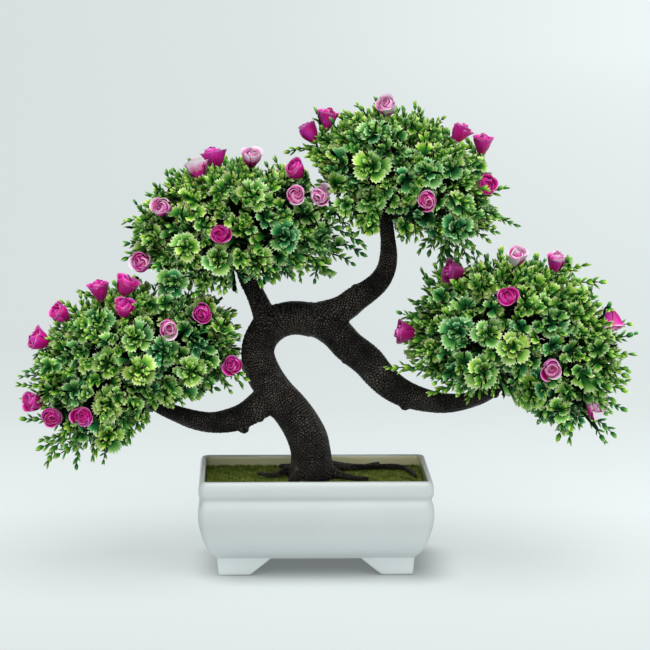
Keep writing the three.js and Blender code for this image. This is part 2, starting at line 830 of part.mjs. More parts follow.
// A thin arched fan of leaflets with its twig, in one closed surface.
// Tooth tips are single points; between them the blade has a top and an under edge.
function leafGeometry(leaf, twigEnd) {
  const { radius, leaflets, teeth, waist, notch, droop } = leaf.shape;
  const outline = [];
  const half = Math.PI / leaflets;
  for (let i = 0; i < leaflets; i++) {
    const middle = 2 * half * i + leaf.spin;
    outline.push({ angle: middle - half, reach: radius * waist, tip: false });
    for (let k = 0; k < teeth; k++) {
      const across = (2 * k + 1) / teeth - 1;
      outline.push({ angle: middle + across * half * TOOTH_SPREAD, reach: radius, tip: true });
      if (k + 1 < teeth) {
        const between = (2 * (k + 1)) / teeth - 1;
        outline.push({ angle: middle + between * half * TOOTH_SPREAD, reach: radius * notch, tip: false });
      }
    }
  }
  const turn = new THREE.Quaternion().setFromUnitVectors(new THREE.Vector3(0, 0, 1), leaf.facing);
  const place = (x, y, z) => new THREE.Vector3(x, y, z).applyQuaternion(turn).add(leaf.point);
  const vertices = [place(0, 0, 0.5)];
  const triangles = [];
  const tops = [];
  const unders = [];
  for (const { angle, reach, tip } of outline) {
    const z = -droop * radius * (reach / radius) ** 2;
    const [x, y] = [reach * Math.cos(angle), reach * Math.sin(angle)];
    tops.push(vertices.length);
    vertices.push(place(x, y, z));
    if (!tip) vertices.push(place(x, y, z - BLADE));
    unders.push(vertices.length - 1);
  }
  // The twig: three corners under the blade and three at its end in the core
  const collar = [];
  const foot = [];
  const down = twigEnd.clone().sub(leaf.point).normalize();
  for (let k = 0; k < 3; k++) {
    const angle = outline[0].angle + (2 * Math.PI * k) / 3;
    const corner = place(TWIG_RADIUS * Math.cos(angle), TWIG_RADIUS * Math.sin(angle), -BLADE - 0.3);
    collar.push(vertices.length);
    vertices.push(corner);
  }
  for (let k = 0; k < 3; k++) {
    const centre = place(0, 0, -BLADE - 0.3);
    const offset = vertices[collar[k]].clone().sub(centre);
    offset.addScaledVector(down, -offset.dot(down)).setLength(TWIG_RADIUS);
    foot.push(vertices.length);
    vertices.push(twigEnd.clone().add(offset));
  }
  const count = outline.length;
  const cornerOf = (i) => Math.floor((3 * (i + 0.5)) / count + 0.5) % 3;
  for (let i = 0; i < count; i++) {
    const j = (i + 1) % count;
    triangles.push([0, tops[i], tops[j]]);
    triangles.push([collar[cornerOf(i)], unders[j], unders[i]]);
    if (cornerOf(i) !== cornerOf(j)) {
      triangles.push([collar[cornerOf(i)], collar[cornerOf(j)], unders[j]]);
    }
    if (!outline[i].tip) triangles.push([unders[i], tops[j], tops[i]]);
    if (!outline[j].tip) triangles.push([unders[i], unders[j], tops[j]]);
  }
  for (let k = 0; k < 3; k++) {
    const n = (k + 1) % 3;
    triangles.push([collar[k], foot[k], foot[n]]);
    triangles.push([collar[k], foot[n], collar[n]]);
  }
  triangles.push([foot[0], foot[2], foot[1]]);
  return geometryOf(vertices, triangles);
}

// The smaller core that a head's leaves stand out of
function headCore(head) {
  const around = 9;
  const rings = [];
  for (const degrees of [-58, -20, 20, 58]) {
    const ring = [];
    for (let i = 0; i < around; i++) {
      const swell = THREE.MathUtils.degToRad(degrees);
      ring.push(headPoint(head, (2 * Math.PI * i) / around, swell, CORE_SHARE));
    }
    rings.push(ring.reverse());
  }
  const front = headPoint(head, 0, -Math.PI / 2, CORE_SHARE);
  const back = headPoint(head, 0, Math.PI / 2, CORE_SHARE);
  return solidOf(skin(rings, front, back));
}

function makeSpray(head, index, leaves, buds) {
  const axis = sprayAxis(SPRAY_HEADINGS[index]);
  const centre = headCentre(head);
  let core = headCore(head);
  for (const normal of sprayPlanes(index)) {
    core = core.trimByPlane(normal.toArray(), normal.dot(centre) + 0.5);
  }
  for (const limb of LIMBS) {
    core = core.subtract(solidOf(limbGeometry(limb.points, 7, 1.1)));
  }
  core = mainBody(core.subtract(ball(head.centre, KNUCKLE_RADIUS + 2, 0)));
  const pieces = [core];
  const stemStart = centre.clone().addScaledVector(axis, KNUCKLE_RADIUS - SOCKET_DEPTH + CLEARANCE);
  const stemEnd = centre.clone().addScaledVector(axis, KNUCKLE_RADIUS + 5);
  pieces.push(rod(stemStart, stemEnd, STEM_RADIUS, 6));
  const root = (point) => {
    const share = (TWIG_ROOT_SHARE * CORE_SHARE) / depthIn(head, point);
    return intoSpray(head, index, centre.clone().lerp(point, share));
  };
  for (const leaf of leaves) {
    pieces.push(solidOf(leafGeometry(leaf, root(leaf.point))));
  }
  for (const bud of buds) {
    const tip = bud.base.clone().addScaledVector(bud.facing, -BUD_GAP);
    pieces.push(rod(root(bud.base), tip, TWIG_RADIUS, 5));
  }
  return mainBody(union(pieces));
}

// A rosebud: an outer cup with a lobed rim, an inner whorl that stands higher, and its heart
function makeBud(bud, random) {
  const sides = 10;
  const lobe = (k, high, low) => (k % 2 === 0 ? high : low);
  const layers = [
    { radius: () => 0.9, height: () => 0.36 },
    { radius: (k) => lobe(k, 1, 0.86), height: (k) => lobe(k, 0.8, 0.66) },
    { radius: () => 0.66, height: () => 0.6 },
    { radius: (k) => lobe(k, 0.58, 0.5), height: (k) => lobe(k, 0.9, 0.98) },
  ];
  const spin = random() * 2 * Math.PI;
  const turn = new THREE.Quaternion().setFromUnitVectors(new THREE.Vector3(0, 0, 1), bud.facing);
  const place = (x, y, z) => new THREE.Vector3(x, y, z).applyQuaternion(turn).add(bud.base);
  const rings = layers.map(({ radius, height }, level) =>
    Array.from({ length: sides }, (_, k) => {
      const angle = spin + (2 * Math.PI * k) / sides + (level > 2 ? 0.3 : 0);
      const reach = BUD_RADIUS * radius(k);
      return place(reach * Math.cos(angle), reach * Math.sin(angle), BUD_HEIGHT * height(k));
    }),
  );
  return solidOf(skin(rings, place(0, 0, 0), place(0, 0, BUD_HEIGHT * 0.74)));
}

const finish = (color, roughness) => new THREE.MeshStandardMaterial({ color, roughness, metalness: 0 });
const POT_WHITE = finish(0xd9dedd, 0.28);
const FILLER_GREY = finish(0x8f8a80, 0.9);
const MOSS_GREEN = finish(0x5f7a22, 0.95);
const BARK_BROWN = finish(0x2b211b, 0.6);
const LEAF_GREEN = finish(0x3f8a45, 0.55);
const BUD_MAGENTA = finish(0xc4168a, 0.6);

function buildBonsai() {
  const bonsai = new THREE.Group();
  bonsai.add(meshOf("pot", makePot(), POT_WHITE));
  bonsai.add(meshOf("filler", makeFiller(), FILLER_GREY));
  bonsai.add(meshOf("moss_mat", makeMoss(), MOSS_GREEN));
  bonsai.add(meshOf("trunk", makeTrunk(), BARK_BROWN));

  const random = randomStream(SEED);
  const buds = placeBuds();
  const rosettes = placeLeaves(ROSETTE, [], buds, random);
  const sprigs = placeLeaves(SPRIG, rosettes, buds, random);
  const leaves = [...rosettes, ...sprigs];
  for (const head of HEADS) {
    SPRAY_HEADINGS.forEach((_, index) => {
      const own = (piece) => piece.head === head && piece.spray === index;
      const solid = makeSpray(head, index, leaves.filter(own), buds.filter(own));
      bonsai.add(meshOf("spray_" + head.name + "_" + (index + 1), solid, LEAF_GREEN));
    });
  }
  buds.forEach((bud, i) => {
    const name = "bud_" + String(i + 1).padStart(2, "0");
    bonsai.add(meshOf(name, makeBud(bud, random), BUD_MAGENTA));
  });

  // The part's own origin is the middle of its footprint, on the surface it stands on
  const box = new THREE.Box3().setFromObject(bonsai);
  bonsai.position.set(-(box.min.x + box.max.x) / 2, -(box.min.y + box.max.y) / 2, 0);
  const part = new THREE.Group();
  part.add(bonsai);
  return part;
}

export default buildBonsai();
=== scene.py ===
"""Miniature artificial rose bonsai in a white footed pot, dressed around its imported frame.

Shapes are worked out in millimetres about the middle of the pot, with +Y to its back, and are
turned into metres in the row frame when a mesh is made.
"""

import math

import bmesh
import bpy
import numpy as np
from mathutils import Matrix, Vector
from mathutils.kdtree import KDTree


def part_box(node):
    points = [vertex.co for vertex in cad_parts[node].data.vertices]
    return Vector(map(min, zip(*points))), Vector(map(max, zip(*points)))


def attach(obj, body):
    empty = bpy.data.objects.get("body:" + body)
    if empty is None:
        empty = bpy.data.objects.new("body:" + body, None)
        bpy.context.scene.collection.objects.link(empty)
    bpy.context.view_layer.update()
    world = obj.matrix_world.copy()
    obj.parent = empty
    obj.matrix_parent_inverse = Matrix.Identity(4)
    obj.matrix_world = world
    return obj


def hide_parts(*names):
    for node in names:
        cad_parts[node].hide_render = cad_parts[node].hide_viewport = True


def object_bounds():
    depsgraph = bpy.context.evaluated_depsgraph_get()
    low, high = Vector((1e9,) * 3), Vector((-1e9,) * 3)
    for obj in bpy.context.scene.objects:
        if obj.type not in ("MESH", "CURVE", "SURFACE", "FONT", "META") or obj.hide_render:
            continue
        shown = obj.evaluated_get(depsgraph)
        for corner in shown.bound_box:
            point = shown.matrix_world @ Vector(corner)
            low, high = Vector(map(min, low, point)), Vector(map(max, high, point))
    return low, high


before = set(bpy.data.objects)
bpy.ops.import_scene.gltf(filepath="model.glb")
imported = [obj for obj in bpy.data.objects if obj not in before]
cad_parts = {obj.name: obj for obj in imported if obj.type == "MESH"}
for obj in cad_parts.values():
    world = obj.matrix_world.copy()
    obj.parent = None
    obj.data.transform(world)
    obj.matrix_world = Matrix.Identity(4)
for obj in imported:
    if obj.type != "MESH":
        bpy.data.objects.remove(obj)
cad_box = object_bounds()

MM = 0.001
pot_low, pot_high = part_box("pot")
POT_MIDDLE = np.array([(pot_low[0] + pot_high[0]) / 2, (pot_low[1] + pot_high[1]) / 2, 0.0])

# Sizes from the part
POT_LENGTH, POT_DEPTH, POT_CORNER = 100, 60.4, 3.2
TUB_UNDERSIDE = 7
FOOT_BOTTOM, FOOT_TOP, FOOT_INSET = (13.5, 10), (23, 16), 8.5
FILLER_TOP, MOSS_TOP = 35.6, 37.3
PEG_RADIUS, PEG_BOTTOM = 5.5, 20
BUD_HEIGHT, BUD_RADIUS, BUD_TURN, BUD_LIFT = 9.6, 4.7, 0.35, 0.12
BLEND = 5

# Heads of leaves: centre, half size along Y, and reach at every 30 degrees from +X towards +Z
HEADS = {
    "left_low": ((-79, -4, 90), 40, (49, 51, 39, 36, 33, 37, 43, 45, 45, 34, 26, 31)),
    "left_high": ((-34, 6, 147), 40, (47, 42, 28, 30, 32, 38, 46, 46, 33, 28, 29, 39)),
    "top": ((36, 4, 166), 42, (42, 35, 31, 33, 36, 42, 41, 34, 26, 26, 30, 46)),
    "right": ((85, -5, 103), 44, (46, 38, 35, 34, 38, 43, 49, 45, 28, 31, 51, 54)),
}
SPRAY_HEADINGS = (205, 335, 90)

# Limbs: how many points show below the leaves, then x, y, z and radius
LIMBS = [
    (14, [(-1.5, 0, 35, 10.8), (-1.4, 0, 43, 9.2), (-1.6, -1, 49, 8.6), (-2.9, -2, 55.3, 8.6),
          (-5.9, -3, 61.4, 8.3), (-10.7, -3, 68.4, 8), (-16.7, -2, 75.4, 7.7), (-21.8, -1, 83.3, 7.5),
          (-24.4, 0, 91, 7.1), (-23.4, 1, 97.6, 7.1), (-19.2, 1, 103.7, 7.4), (-13.2, 0, 107.1, 7.3),
          (-6.4, 0, 107.6, 7.2), (2.1, 0, 105.8, 7.3)]),
    (12, [(-1, 0, 106.7, 6.4), (8.6, -1, 101.5, 6.9), (14.6, -2, 95.4, 6.9), (22.3, -3, 89.3, 6.9),
          (27.1, -4, 84, 6.6), (33.1, -4, 78.4, 6.2), (40.1, -4, 74.4, 5.6), (49.6, -4, 71.8, 4.7),
          (59, -5, 71.3, 4), (68.5, -5, 73, 3.3), (75.8, -5, 76.9, 3), (81.5, -5, 84, 2.8),
          (84.5, -5, 93, 2.8), (85, -5, 103, 2.8)]),
    (10, [(-1, 0, 107.5, 6), (11.1, 1, 111, 5.9), (17.9, 1, 115.7, 5.5), (23, 0, 119.2, 5),
          (27.3, -1, 123.5, 4.6), (30.2, -3, 129.1, 4.1), (31.1, -5, 135.1, 3.7),
          (30.8, -6, 141.1, 3.2), (30.1, -5, 147.1, 3), (30.1, -2, 153.1, 3), (32, 2, 160, 2.8),
          (36, 4, 166, 2.8)]),
    (7, [(-21, -1, 72, 6.4), (-29.1, -2, 66.3, 5.5), (-35.6, -3, 63.7, 5.2), (-43.7, -4, 62.9, 4.5),
         (-51.9, -4, 64.2, 4.1), (-58.7, -4, 66.4, 3.5), (-66, -4, 69.5, 3), (-73, -4, 74.5, 2.8),
         (-77.5, -4, 82, 2.8), (-79, -4, 90, 2.8)]),
    (4, [(-20, 0, 104, 5.2), (-23.9, 0, 114.1, 4.3), (-26.5, 1, 119.7, 3.8), (-29, 2, 124, 3.4),
         (-31, 4, 131, 3), (-33, 5, 139, 2.8), (-34, 6, 147, 2.8)]),
    (4, [(29.6, -4, 150.5, 2.4), (36.1, -7, 150.9, 1.8), (42.5, -9, 149.7, 1.6), (47, -10, 148.4, 1.3)]),
]
ROOTS = [
    [(-7, 1, 42, 3.4), (-12, 2, 40.6, 1.8), (-18, -2, 39.4, 1.2), (-25, -4, 40.6, 1)],
    [(4, 6, 42, 3.2), (10, 11, 40.4, 2.2), (17, 13.5, 39.6, 1.5), (26, 14, 39.4, 1.3),
     (34, 15, 39.5, 1.3), (39.5, 12, 39.4, 1.2), (42, 5, 39.2, 1.1), (43.5, -4, 39.1, 0.9)],
    [(22, 14, 39.6, 1.2), (26, 18, 39.8, 1), (29, 22, 39.6, 0.8)],
    [(5, -3, 42, 3), (11, -5, 40, 1.8), (17, -8, 39.3, 1.3), (23, -9.5, 39.1, 1)],
    [(-6, -5, 42, 3.4), (-9, -10, 40, 2), (-11, -15, 39.2, 1.1)],
    [(-5, 6, 42, 3.2), (-9, 12, 40, 1.9), (-15, 17, 39.3, 1.1)],
]
BURRS = [(13.5, -6.5, 91, 2.6), (-30.5, -5, 60.5, 2.4), (-24, -7, 66, 2.6), (38.5, -7, 71, 2.6),
         (17.5, -3, 120.2, 2.4), (77, -7.5, 75.5, 1.9), (-17.5, -6.5, 84, 2.6)]

# Rosebuds, front ones and back ones, by x and z
FRONT_BUDS = {
    "left_low": [(-80, 124), (-91, 121), (-80, 116), (-107, 111), (-116, 100), (-62, 109),
                 (-48, 114), (-35, 91), (-119, 74), (-110, 70), (-97, 73)],
    "left_high": [(-8, 172), (-9, 162), (1, 163), (-27, 175), (-43, 176), (-50, 172), (-64, 157),
                  (-40, 148), (-73, 134)],
    "top": [(30, 198), (-2, 186), (5, 192), (60, 187), (71, 181), (71, 166), (45, 162)],
    "right": [(58, 130), (84, 136), (101, 133), (38, 104), (78, 122), (124, 110), (96, 93), (117, 72)],
}
BACK_BUDS = {
    "left_low": [(-98, 96), (-66, 84)],
    "left_high": [(-50, 154), (-20, 140)],
    "top": [(48, 178), (20, 168)],
    "right": [(106, 112), (66, 108), (92, 84)],
}
# Where single buds of the front open to; the others open outwards from the crown
BUD_FACINGS = {
    "bud_01": (0.35, -0.3, 0.9), "bud_02": (-0.15, -0.1, 1), "bud_03": (0, -0.6, 0.8),
    "bud_04": (-0.6, -0.55, 0.55), "bud_05": (-0.85, -0.3, 0.25), "bud_06": (0.15, -1, 0.1),
    "bud_07": (-0.1, -1, 0.1), "bud_08": (-0.2, -0.95, 0.15), "bud_09": (-0.6, -0.6, 0.3),
    "bud_10": (-0.15, -1, -0.05), "bud_11": (0, -1, 0.1), "bud_14": (-0.5, -0.6, 0.6),
    "bud_15": (0.1, -0.85, 0.45), "bud_16": (0, -1, 0.1), "bud_17": (0.05, -0.5, 0.87),
    "bud_18": (-0.3, 0.05, 0.95), "bud_19": (-0.3, 0.2, 0.9), "bud_20": (-0.35, -0.85, 0.35),
    "bud_21": (0, -1, 0.1), "bud_22": (-0.3, -0.8, 0.3), "bud_25": (-0.2, -0.7, 0.65),
    "bud_26": (-0.5, 0.1, 0.85), "bud_27": (0.1, 0, 1), "bud_28": (0.45, 0, 0.9),
    "bud_29": (0.1, -0.15, 1), "bud_30": (0.25, -0.85, 0.3), "bud_31": (0, -1, 0.05),
    "bud_34": (-0.85, -0.3, 0.1), "bud_35": (0.1, -0.5, 0.85), "bud_36": (0.2, -0.2, 0.95),
    "bud_37": (-0.95, -0.15, 0.1), "bud_38": (0, -0.85, 0.5), "bud_39": (0.05, -0.25, -1),
    "bud_40": (0, -1, 0.1), "bud_41": (0.1, -0.45, 0.9),
}
# Where the first petal of single buds points, and how white it is, or below 0 how much painted shade
# darkens the whole bud, as buds in shadow; the others are magenta throughout
BUD_PETALS = {
    "bud_05": ((-0.2, 0, 1), 0), "bud_06": ((0.6, 0, -0.7), 0.55), "bud_07": ((-1, 0, 0), 0),
    "bud_08": ((0, 0, 1), 0), "bud_10": ((0, 0, -1), 0.1), "bud_15": ((0.4, 0, -0.9), 0.6),
    "bud_16": ((0.8, 0, 0.6), 0.85), "bud_17": ((0.1, -1, -0.2), 1.0), "bud_18": ((-0.8, -0.5, 0), 0),
    "bud_19": ((0, -1, 0), 0.45), "bud_20": ((0.8, -0.2, 0.6), 0.7), "bud_21": ((0, 0, 1), 0),
    "bud_22": ((-0.8, 0, -0.5), 0.45), "bud_25": ((0.6, -0.6, -0.5), 1.0), "bud_26": ((-0.9, 0, 0.3), 0),
    "bud_28": ((0.8, -0.3, 0), 0), "bud_29": ((0.7, -0.5, 0), 0), "bud_31": ((0.1, 0, 1), 0.25),
    "bud_34": ((0, 0, 1), -0.75), "bud_35": ((-0.7, -0.7, 0), 0.95), "bud_36": ((0.9, -0.3, 0), 0.35),
    "bud_37": ((0, 0, 1), -0.45),
    "bud_39": ((-1, -0.4, 0), 0.3), "bud_40": ((0.7, 0, -0.6), 0.5), "bud_41": ((0.8, -0.4, 0), 0.9),
}
# How far the leaves' own outline lies inside a head's reach, and how far the sprigs stand past it
LEAF_INSET, SPRIG_EXCESS = 9, 4

# Rosettes of the front: x, z, radius and tone, from 0 for blue-green to 1 for yellow-green
ROSETTES = {
    "left_low": [
        (-74, 92, 7.2, 0.85), (-62, 79, 7.6, 0.55), (-87, 75, 8.5, 0.6), (-87, 65, 7.2, 0.75),
        (-74, 72, 5.7, 0.7), (-88, 95, 7.2, 0.45), (-101, 91, 7.2, 0.15), (-91, 111, 6.8, 0.3),
        (-75, 105, 7.2, 0.45), (-63, 101, 7.2, 0.1), (-66, 91, 5.9, 0.05), (-97, 108, 5.5, 0.5),
        (-100, 83, 5.9, 0.15), (-53, 91, 7.2, 0.65), (-42, 92, 5.5, 0.4), (-38, 106, 6.3, 0.8),
        (-43, 117, 5.9, 0.8), (-81, 109, 4.7, 0.75), (-69, 120, 5.1, 0.6), (-60, 126, 6.8, 0.15),
        (-63, 118, 4.7, 0.35), (-95, 82, 3.8, 0.5), (-82, 81, 4.2, 0.6), (-107, 76, 4.7, 0.5),
        (-102, 101, 5.9, 0.3), (-50, 103, 5.9, 0.1), (-53, 110, 4.7, 0.3), (-71, 112, 4.7, 0.55),
        (-111, 91, 5.1, 0.6), (-96, 68, 5.1, 0.45), (-38, 81, 4.7, 0.45), (-86, 103, 5.1, 0.35)],
    "left_high": [
        (-25, 134, 7.2, 0.7), (-41, 137, 6.6, 0.5), (-54, 142, 6.6, 0.55), (-12, 145, 7.2, 0.1),
        (-27, 162, 7.6, 0.45), (-32, 150, 6.3, 0.85), (-60, 157, 5.5, 0.8), (-57, 150, 4.7, 0.7),
        (-45, 159, 6.3, 0.4), (-39, 165, 5.9, 0.5), (-65, 134, 5.1, 0.6), (-2, 154, 6.3, 0.35),
        (-32, 138, 4.7, 0.6), (-19, 168, 5.5, 0.5), (-7, 172, 4.2, 0.3), (-52, 135, 5.5, 0.75),
        (4, 143, 5.9, 0.3), (-6, 134, 5.9, 0.25), (-47, 127, 4.2, 0.7), (-70, 144, 5.1, 0.5),
        (-46, 147, 4.7, 0.2), (-21, 155, 5.5, 0.2), (6, 154, 4.2, 0.4), (-54, 163, 5.5, 0.7),
        (-46, 169, 5.1, 0.75), (3, 129, 4.7, 0.6), (11, 135, 5.1, 0.5), (-35, 169, 4.7, 0.6),
        (-14, 135, 4.7, 0.35), (-28, 150, 4.2, 0.3), (-14, 155, 4.7, 0.3)],
    "top": [
        (22, 176, 7.8, 0.5), (38, 180, 7.4, 0.4), (20, 159, 6.8, 0.5), (12, 166, 5.9, 0.7),
        (46, 174, 7.4, 0.15), (11, 176, 5.9, 0.2), (24, 188, 7.2, 0.15), (32, 189, 5.9, 0.4),
        (47, 186, 6.3, 0.7), (14, 186, 5.5, 0.35), (37, 161, 5.7, 0.8), (57, 176, 6.8, 0.25),
        (61, 159, 6.3, 0.35), (51, 160, 5.1, 0.3), (57, 151, 6.8, 0.15), (64, 154, 5.5, 0.5),
        (7, 180, 5.1, 0.8), (4, 184, 4.7, 0.8), (8, 189, 4.7, 0.7), (17, 193, 4.2, 0.8),
        (27, 165, 4.2, 0.1), (22, 150, 5.1, 0.75), (36, 147, 4.7, 0.8), (68, 174, 4.2, 0.5),
        (62, 169, 5.1, 0.6), (39, 191, 5.1, 0.7), (12, 159, 5.1, 0.5), (5, 167, 5.1, 0.8),
        (33, 182, 4.7, 0.4), (36, 171, 5.5, 0.15), (51, 167, 4.2, 0.2), (25, 195, 4.7, 0.5),
        (51, 192, 4.2, 0.7), (55, 184, 5.1, 0.5), (64, 146, 5.1, 0.5), (28, 182, 4.2, 0.3)],
    "right": [
        (80, 102, 7.2, 0.85), (68, 92, 8, 0.5), (69, 108, 7, 0.6), (56, 108, 7.6, 0.1),
        (87, 120, 6.3, 0.55), (98, 113, 7.6, 0.15), (83, 111, 5.1, 0.2), (67, 128, 6.8, 0.75),
        (93, 129, 6.3, 0.8), (88, 78, 7.6, 0.75), (87, 94, 5.9, 0.75), (104, 120, 5.9, 0.5),
        (76, 117, 5.5, 0.7), (60, 118, 6.3, 0.4), (53, 99, 5.9, 0.2), (107, 100, 5.5, 0.3),
        (82, 85, 4.7, 0.35), (81, 129, 5.5, 0.7), (111, 108, 5.5, 0.5), (45, 107, 5.9, 0.7),
        (96, 103, 4.7, 0.2), (105, 112, 5.1, 0.3), (101, 74, 5.5, 0.6), (111, 91, 5.9, 0.4),
        (71, 120, 4.7, 0.4), (51, 121, 5.9, 0.3), (95, 121, 4.7, 0.6), (118, 84, 5.5, 0.5),
        (107, 80, 5.5, 0.4), (60, 93, 5.1, 0.35), (45, 98, 5.1, 0.6), (117, 100, 4.7, 0.45),
        (64, 134, 4.7, 0.6), (98, 86, 4.2, 0.5), (86, 125, 4.7, 0.75), (111, 122, 4.7, 0.7)],
}
# Sprigs that stand out of each head's outline: x and z where they leave it, and of their tip
SPRIGS = {
    "left_low": [
        (-108, 83, -124, 83), (-110, 78, -125, 79), (-112, 76, -123, 73), (-107, 94, -117, 89),
        (-109, 98, -117, 94), (-99, 61, -115, 57), (-102, 56, -116, 52), (-107, 57, -114, 47),
        (-100, 58, -102, 46), (-94, 59, -95, 50), (-88, 57, -90, 49), (-97, 104, -99, 117),
        (-95, 107, -97, 115), (-100, 108, -106, 114), (-88, 113, -97, 119), (-90, 111, -97, 112),
        (-108, 65, -122, 66), (-109, 88, -121, 86), (-79, 62, -84, 53), (-97, 56, -109, 49),
        (-40, 88, -33, 81), (-38, 90, -30, 86), (-42, 86, -37, 79), (-37, 87, -31, 83)],
    "left_high": [
        (-63, 158, -67, 164), (-52, 162, -59, 169), (-51, 161, -53, 173), (-69, 146, -75, 156),
        (-71, 140, -78, 140), (-73, 135, -79, 134), (-59, 162, -62, 168), (-43, 167, -43, 173),
        (-34, 166, -33, 173), (-32, 165, -31, 171), (-18, 165, -20, 171), (-13, 166, -16, 173),
        (-11, 134, -15, 127), (-6, 131, -6, 124), (4, 143, 19, 135), (6, 147, 19, 140),
        (1, 131, 0, 125), (9, 134, 15, 131), (-70, 151, -80, 148), (4, 158, 15, 145)],
    "top": [
        (18, 188, 14, 193), (27, 192, 26, 199), (22, 193, 19, 197), (42, 188, 42, 196),
        (45, 189, 44, 195), (49, 188, 53, 192), (4, 183, 1, 194), (9, 185, 8, 190),
        (71, 150, 84, 148), (73, 153, 78, 151), (65, 146, 73, 141), (54, 144, 50, 136),
        (57, 142, 58, 132), (63, 144, 69, 136), (73, 161, 79, 163), (-1, 179, -10, 178),
        (60, 141, 62, 131), (53, 146, 54, 138), (66, 148, 76, 145), (58, 179, 57, 185),
        (69, 176, 66, 181), (13, 190, 10, 193),
        (56, 144, 53, 134), (50, 143, 46, 137), (61, 143, 65, 133), (58, 143, 55, 131)],
    "right": [
        (110, 96, 134, 102), (113, 94, 133, 93), (105, 124, 120, 124), (102, 126, 113, 130),
        (115, 89, 131, 87), (116, 81, 132, 81), (118, 76, 130, 70), (115, 67, 124, 55),
        (111, 66, 110, 56), (118, 67, 126, 60), (66, 88, 33, 88), (62, 94, 38, 97),
        (50, 116, 47, 125), (55, 119, 52, 128), (48, 106, 37, 111), (62, 82, 51, 78),
        (71, 80, 66, 76), (79, 121, 78, 136), (55, 112, 45, 114), (122, 103, 125, 111),
        (53, 99, 40, 100), (107, 132, 109, 128), (111, 103, 132, 106), (117, 116, 118, 122),
        (107, 62, 105, 59), (53, 85, 41, 85)],
}

# The camera
CAMERA_PLACE = (-29.8, -1127.8, 281.7)
CAMERA_LENS = 147.9
CAMERA_YAW, CAMERA_PITCH, CAMERA_ROLL = 1.73, 8.93, 0.16


def unit(vectors):
    vectors = np.asarray(vectors, float)
    return vectors / np.linalg.norm(vectors, axis=-1, keepdims=True)


def camera_axes():
    """The camera's directions to the right, up and ahead."""
    yaw, pitch, roll = (math.radians(a) for a in (CAMERA_YAW, CAMERA_PITCH, CAMERA_ROLL))
    ahead = Vector((math.sin(yaw) * math.cos(pitch), math.cos(yaw) * math.cos(pitch), -math.sin(pitch)))
    side = Vector((math.cos(yaw), -math.sin(yaw), 0))
    up = side.cross(ahead)
    return side * math.cos(roll) + up * math.sin(roll), up * math.cos(roll) - side * math.sin(roll), ahead


def aim_camera():
    right, up, ahead = camera_axes()
    data = bpy.data.cameras.new("camera")
    data.lens = CAMERA_LENS
    data.sensor_width = 36
    data.clip_start, data.clip_end = 0.05, 40
    camera = add_object("camera", data)
    camera.matrix_world = Matrix.Translation(Vector(POT_MIDDLE) + Vector(CAMERA_PLACE) * MM) @ Matrix(
        (right, up, -ahead)).transposed().to_4x4()
    bpy.context.scene.camera = camera


# Making a mesh
class Form:
    """Points in millimetres, triangles, and four marks a point, gathered into one mesh."""

    def __init__(self):
        self.points, self.faces, self.marks, self.count = [], [], [], 0

    def add(self, points, faces, marks):
        points = np.asarray(points, float)
        self.points.append(points)
        self.faces.append(np.asarray(faces, int) + self.count)
        self.marks.append(np.broadcast_to(np.asarray(marks, float), (len(points), 4)))
        self.count += len(points)

    def make(self, name, crease=55):
        points = np.concatenate(self.points) * MM + POT_MIDDLE
        return mesh_object(name, points, np.concatenate(self.faces), np.concatenate(self.marks), crease)


def add_object(name, data):
    obj = bpy.data.objects.new(name, data)
    bpy.context.scene.collection.objects.link(obj)
    return obj


def mesh_object(name, points, faces, marks, crease):
    """A mesh object from triangles in metres, smooth but for edges sharper than crease degrees."""
    mesh = bpy.data.meshes.new(name)
    mesh.vertices.add(len(points))
    mesh.vertices.foreach_set("co", points.astype(np.float32).ravel())
    mesh.loops.add(3 * len(faces))
    mesh.loops.foreach_set("vertex_index", faces.astype(np.int32).ravel())
    mesh.polygons.add(len(faces))
    mesh.polygons.foreach_set("loop_start", np.arange(0, 3 * len(faces), 3, dtype=np.int32))
    mesh.update(calc_edges=True)
    mesh.validate()
    mesh.shade_smooth()
    mesh.set_sharp_from_angle(angle=math.radians(crease))
    layer = mesh.color_attributes.new(name="mark", type="FLOAT_COLOR", domain="POINT")
    layer.data.foreach_set("color", marks.astype(np.float32).ravel())
    return add_object(name, mesh)


def place_piece(obj, material, slot, *nodes):
    """Give a finished piece its material and its part in the frame."""
    obj.data.materials.clear()
    obj.data.materials.append(material)
    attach(obj, "root")
    if nodes:
        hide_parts(*nodes)
    return obj


def strip(low, high):
    """Triangles between two rows of point numbers, which may differ in length."""
    faces, i, j = [], 0, 0
    while i < len(low) - 1 or j < len(high) - 1:
        use_low = j == len(high) - 1 or (
            i < len(low) - 1 and (i + 0.5) / (len(low) - 1) <= (j + 0.5) / (len(high) - 1))
        if use_low:
            faces.append((low[i], high[j], low[i + 1]))
            i += 1
        else:
            faces.append((low[i], high[j], high[j + 1]))
            j += 1
    return faces


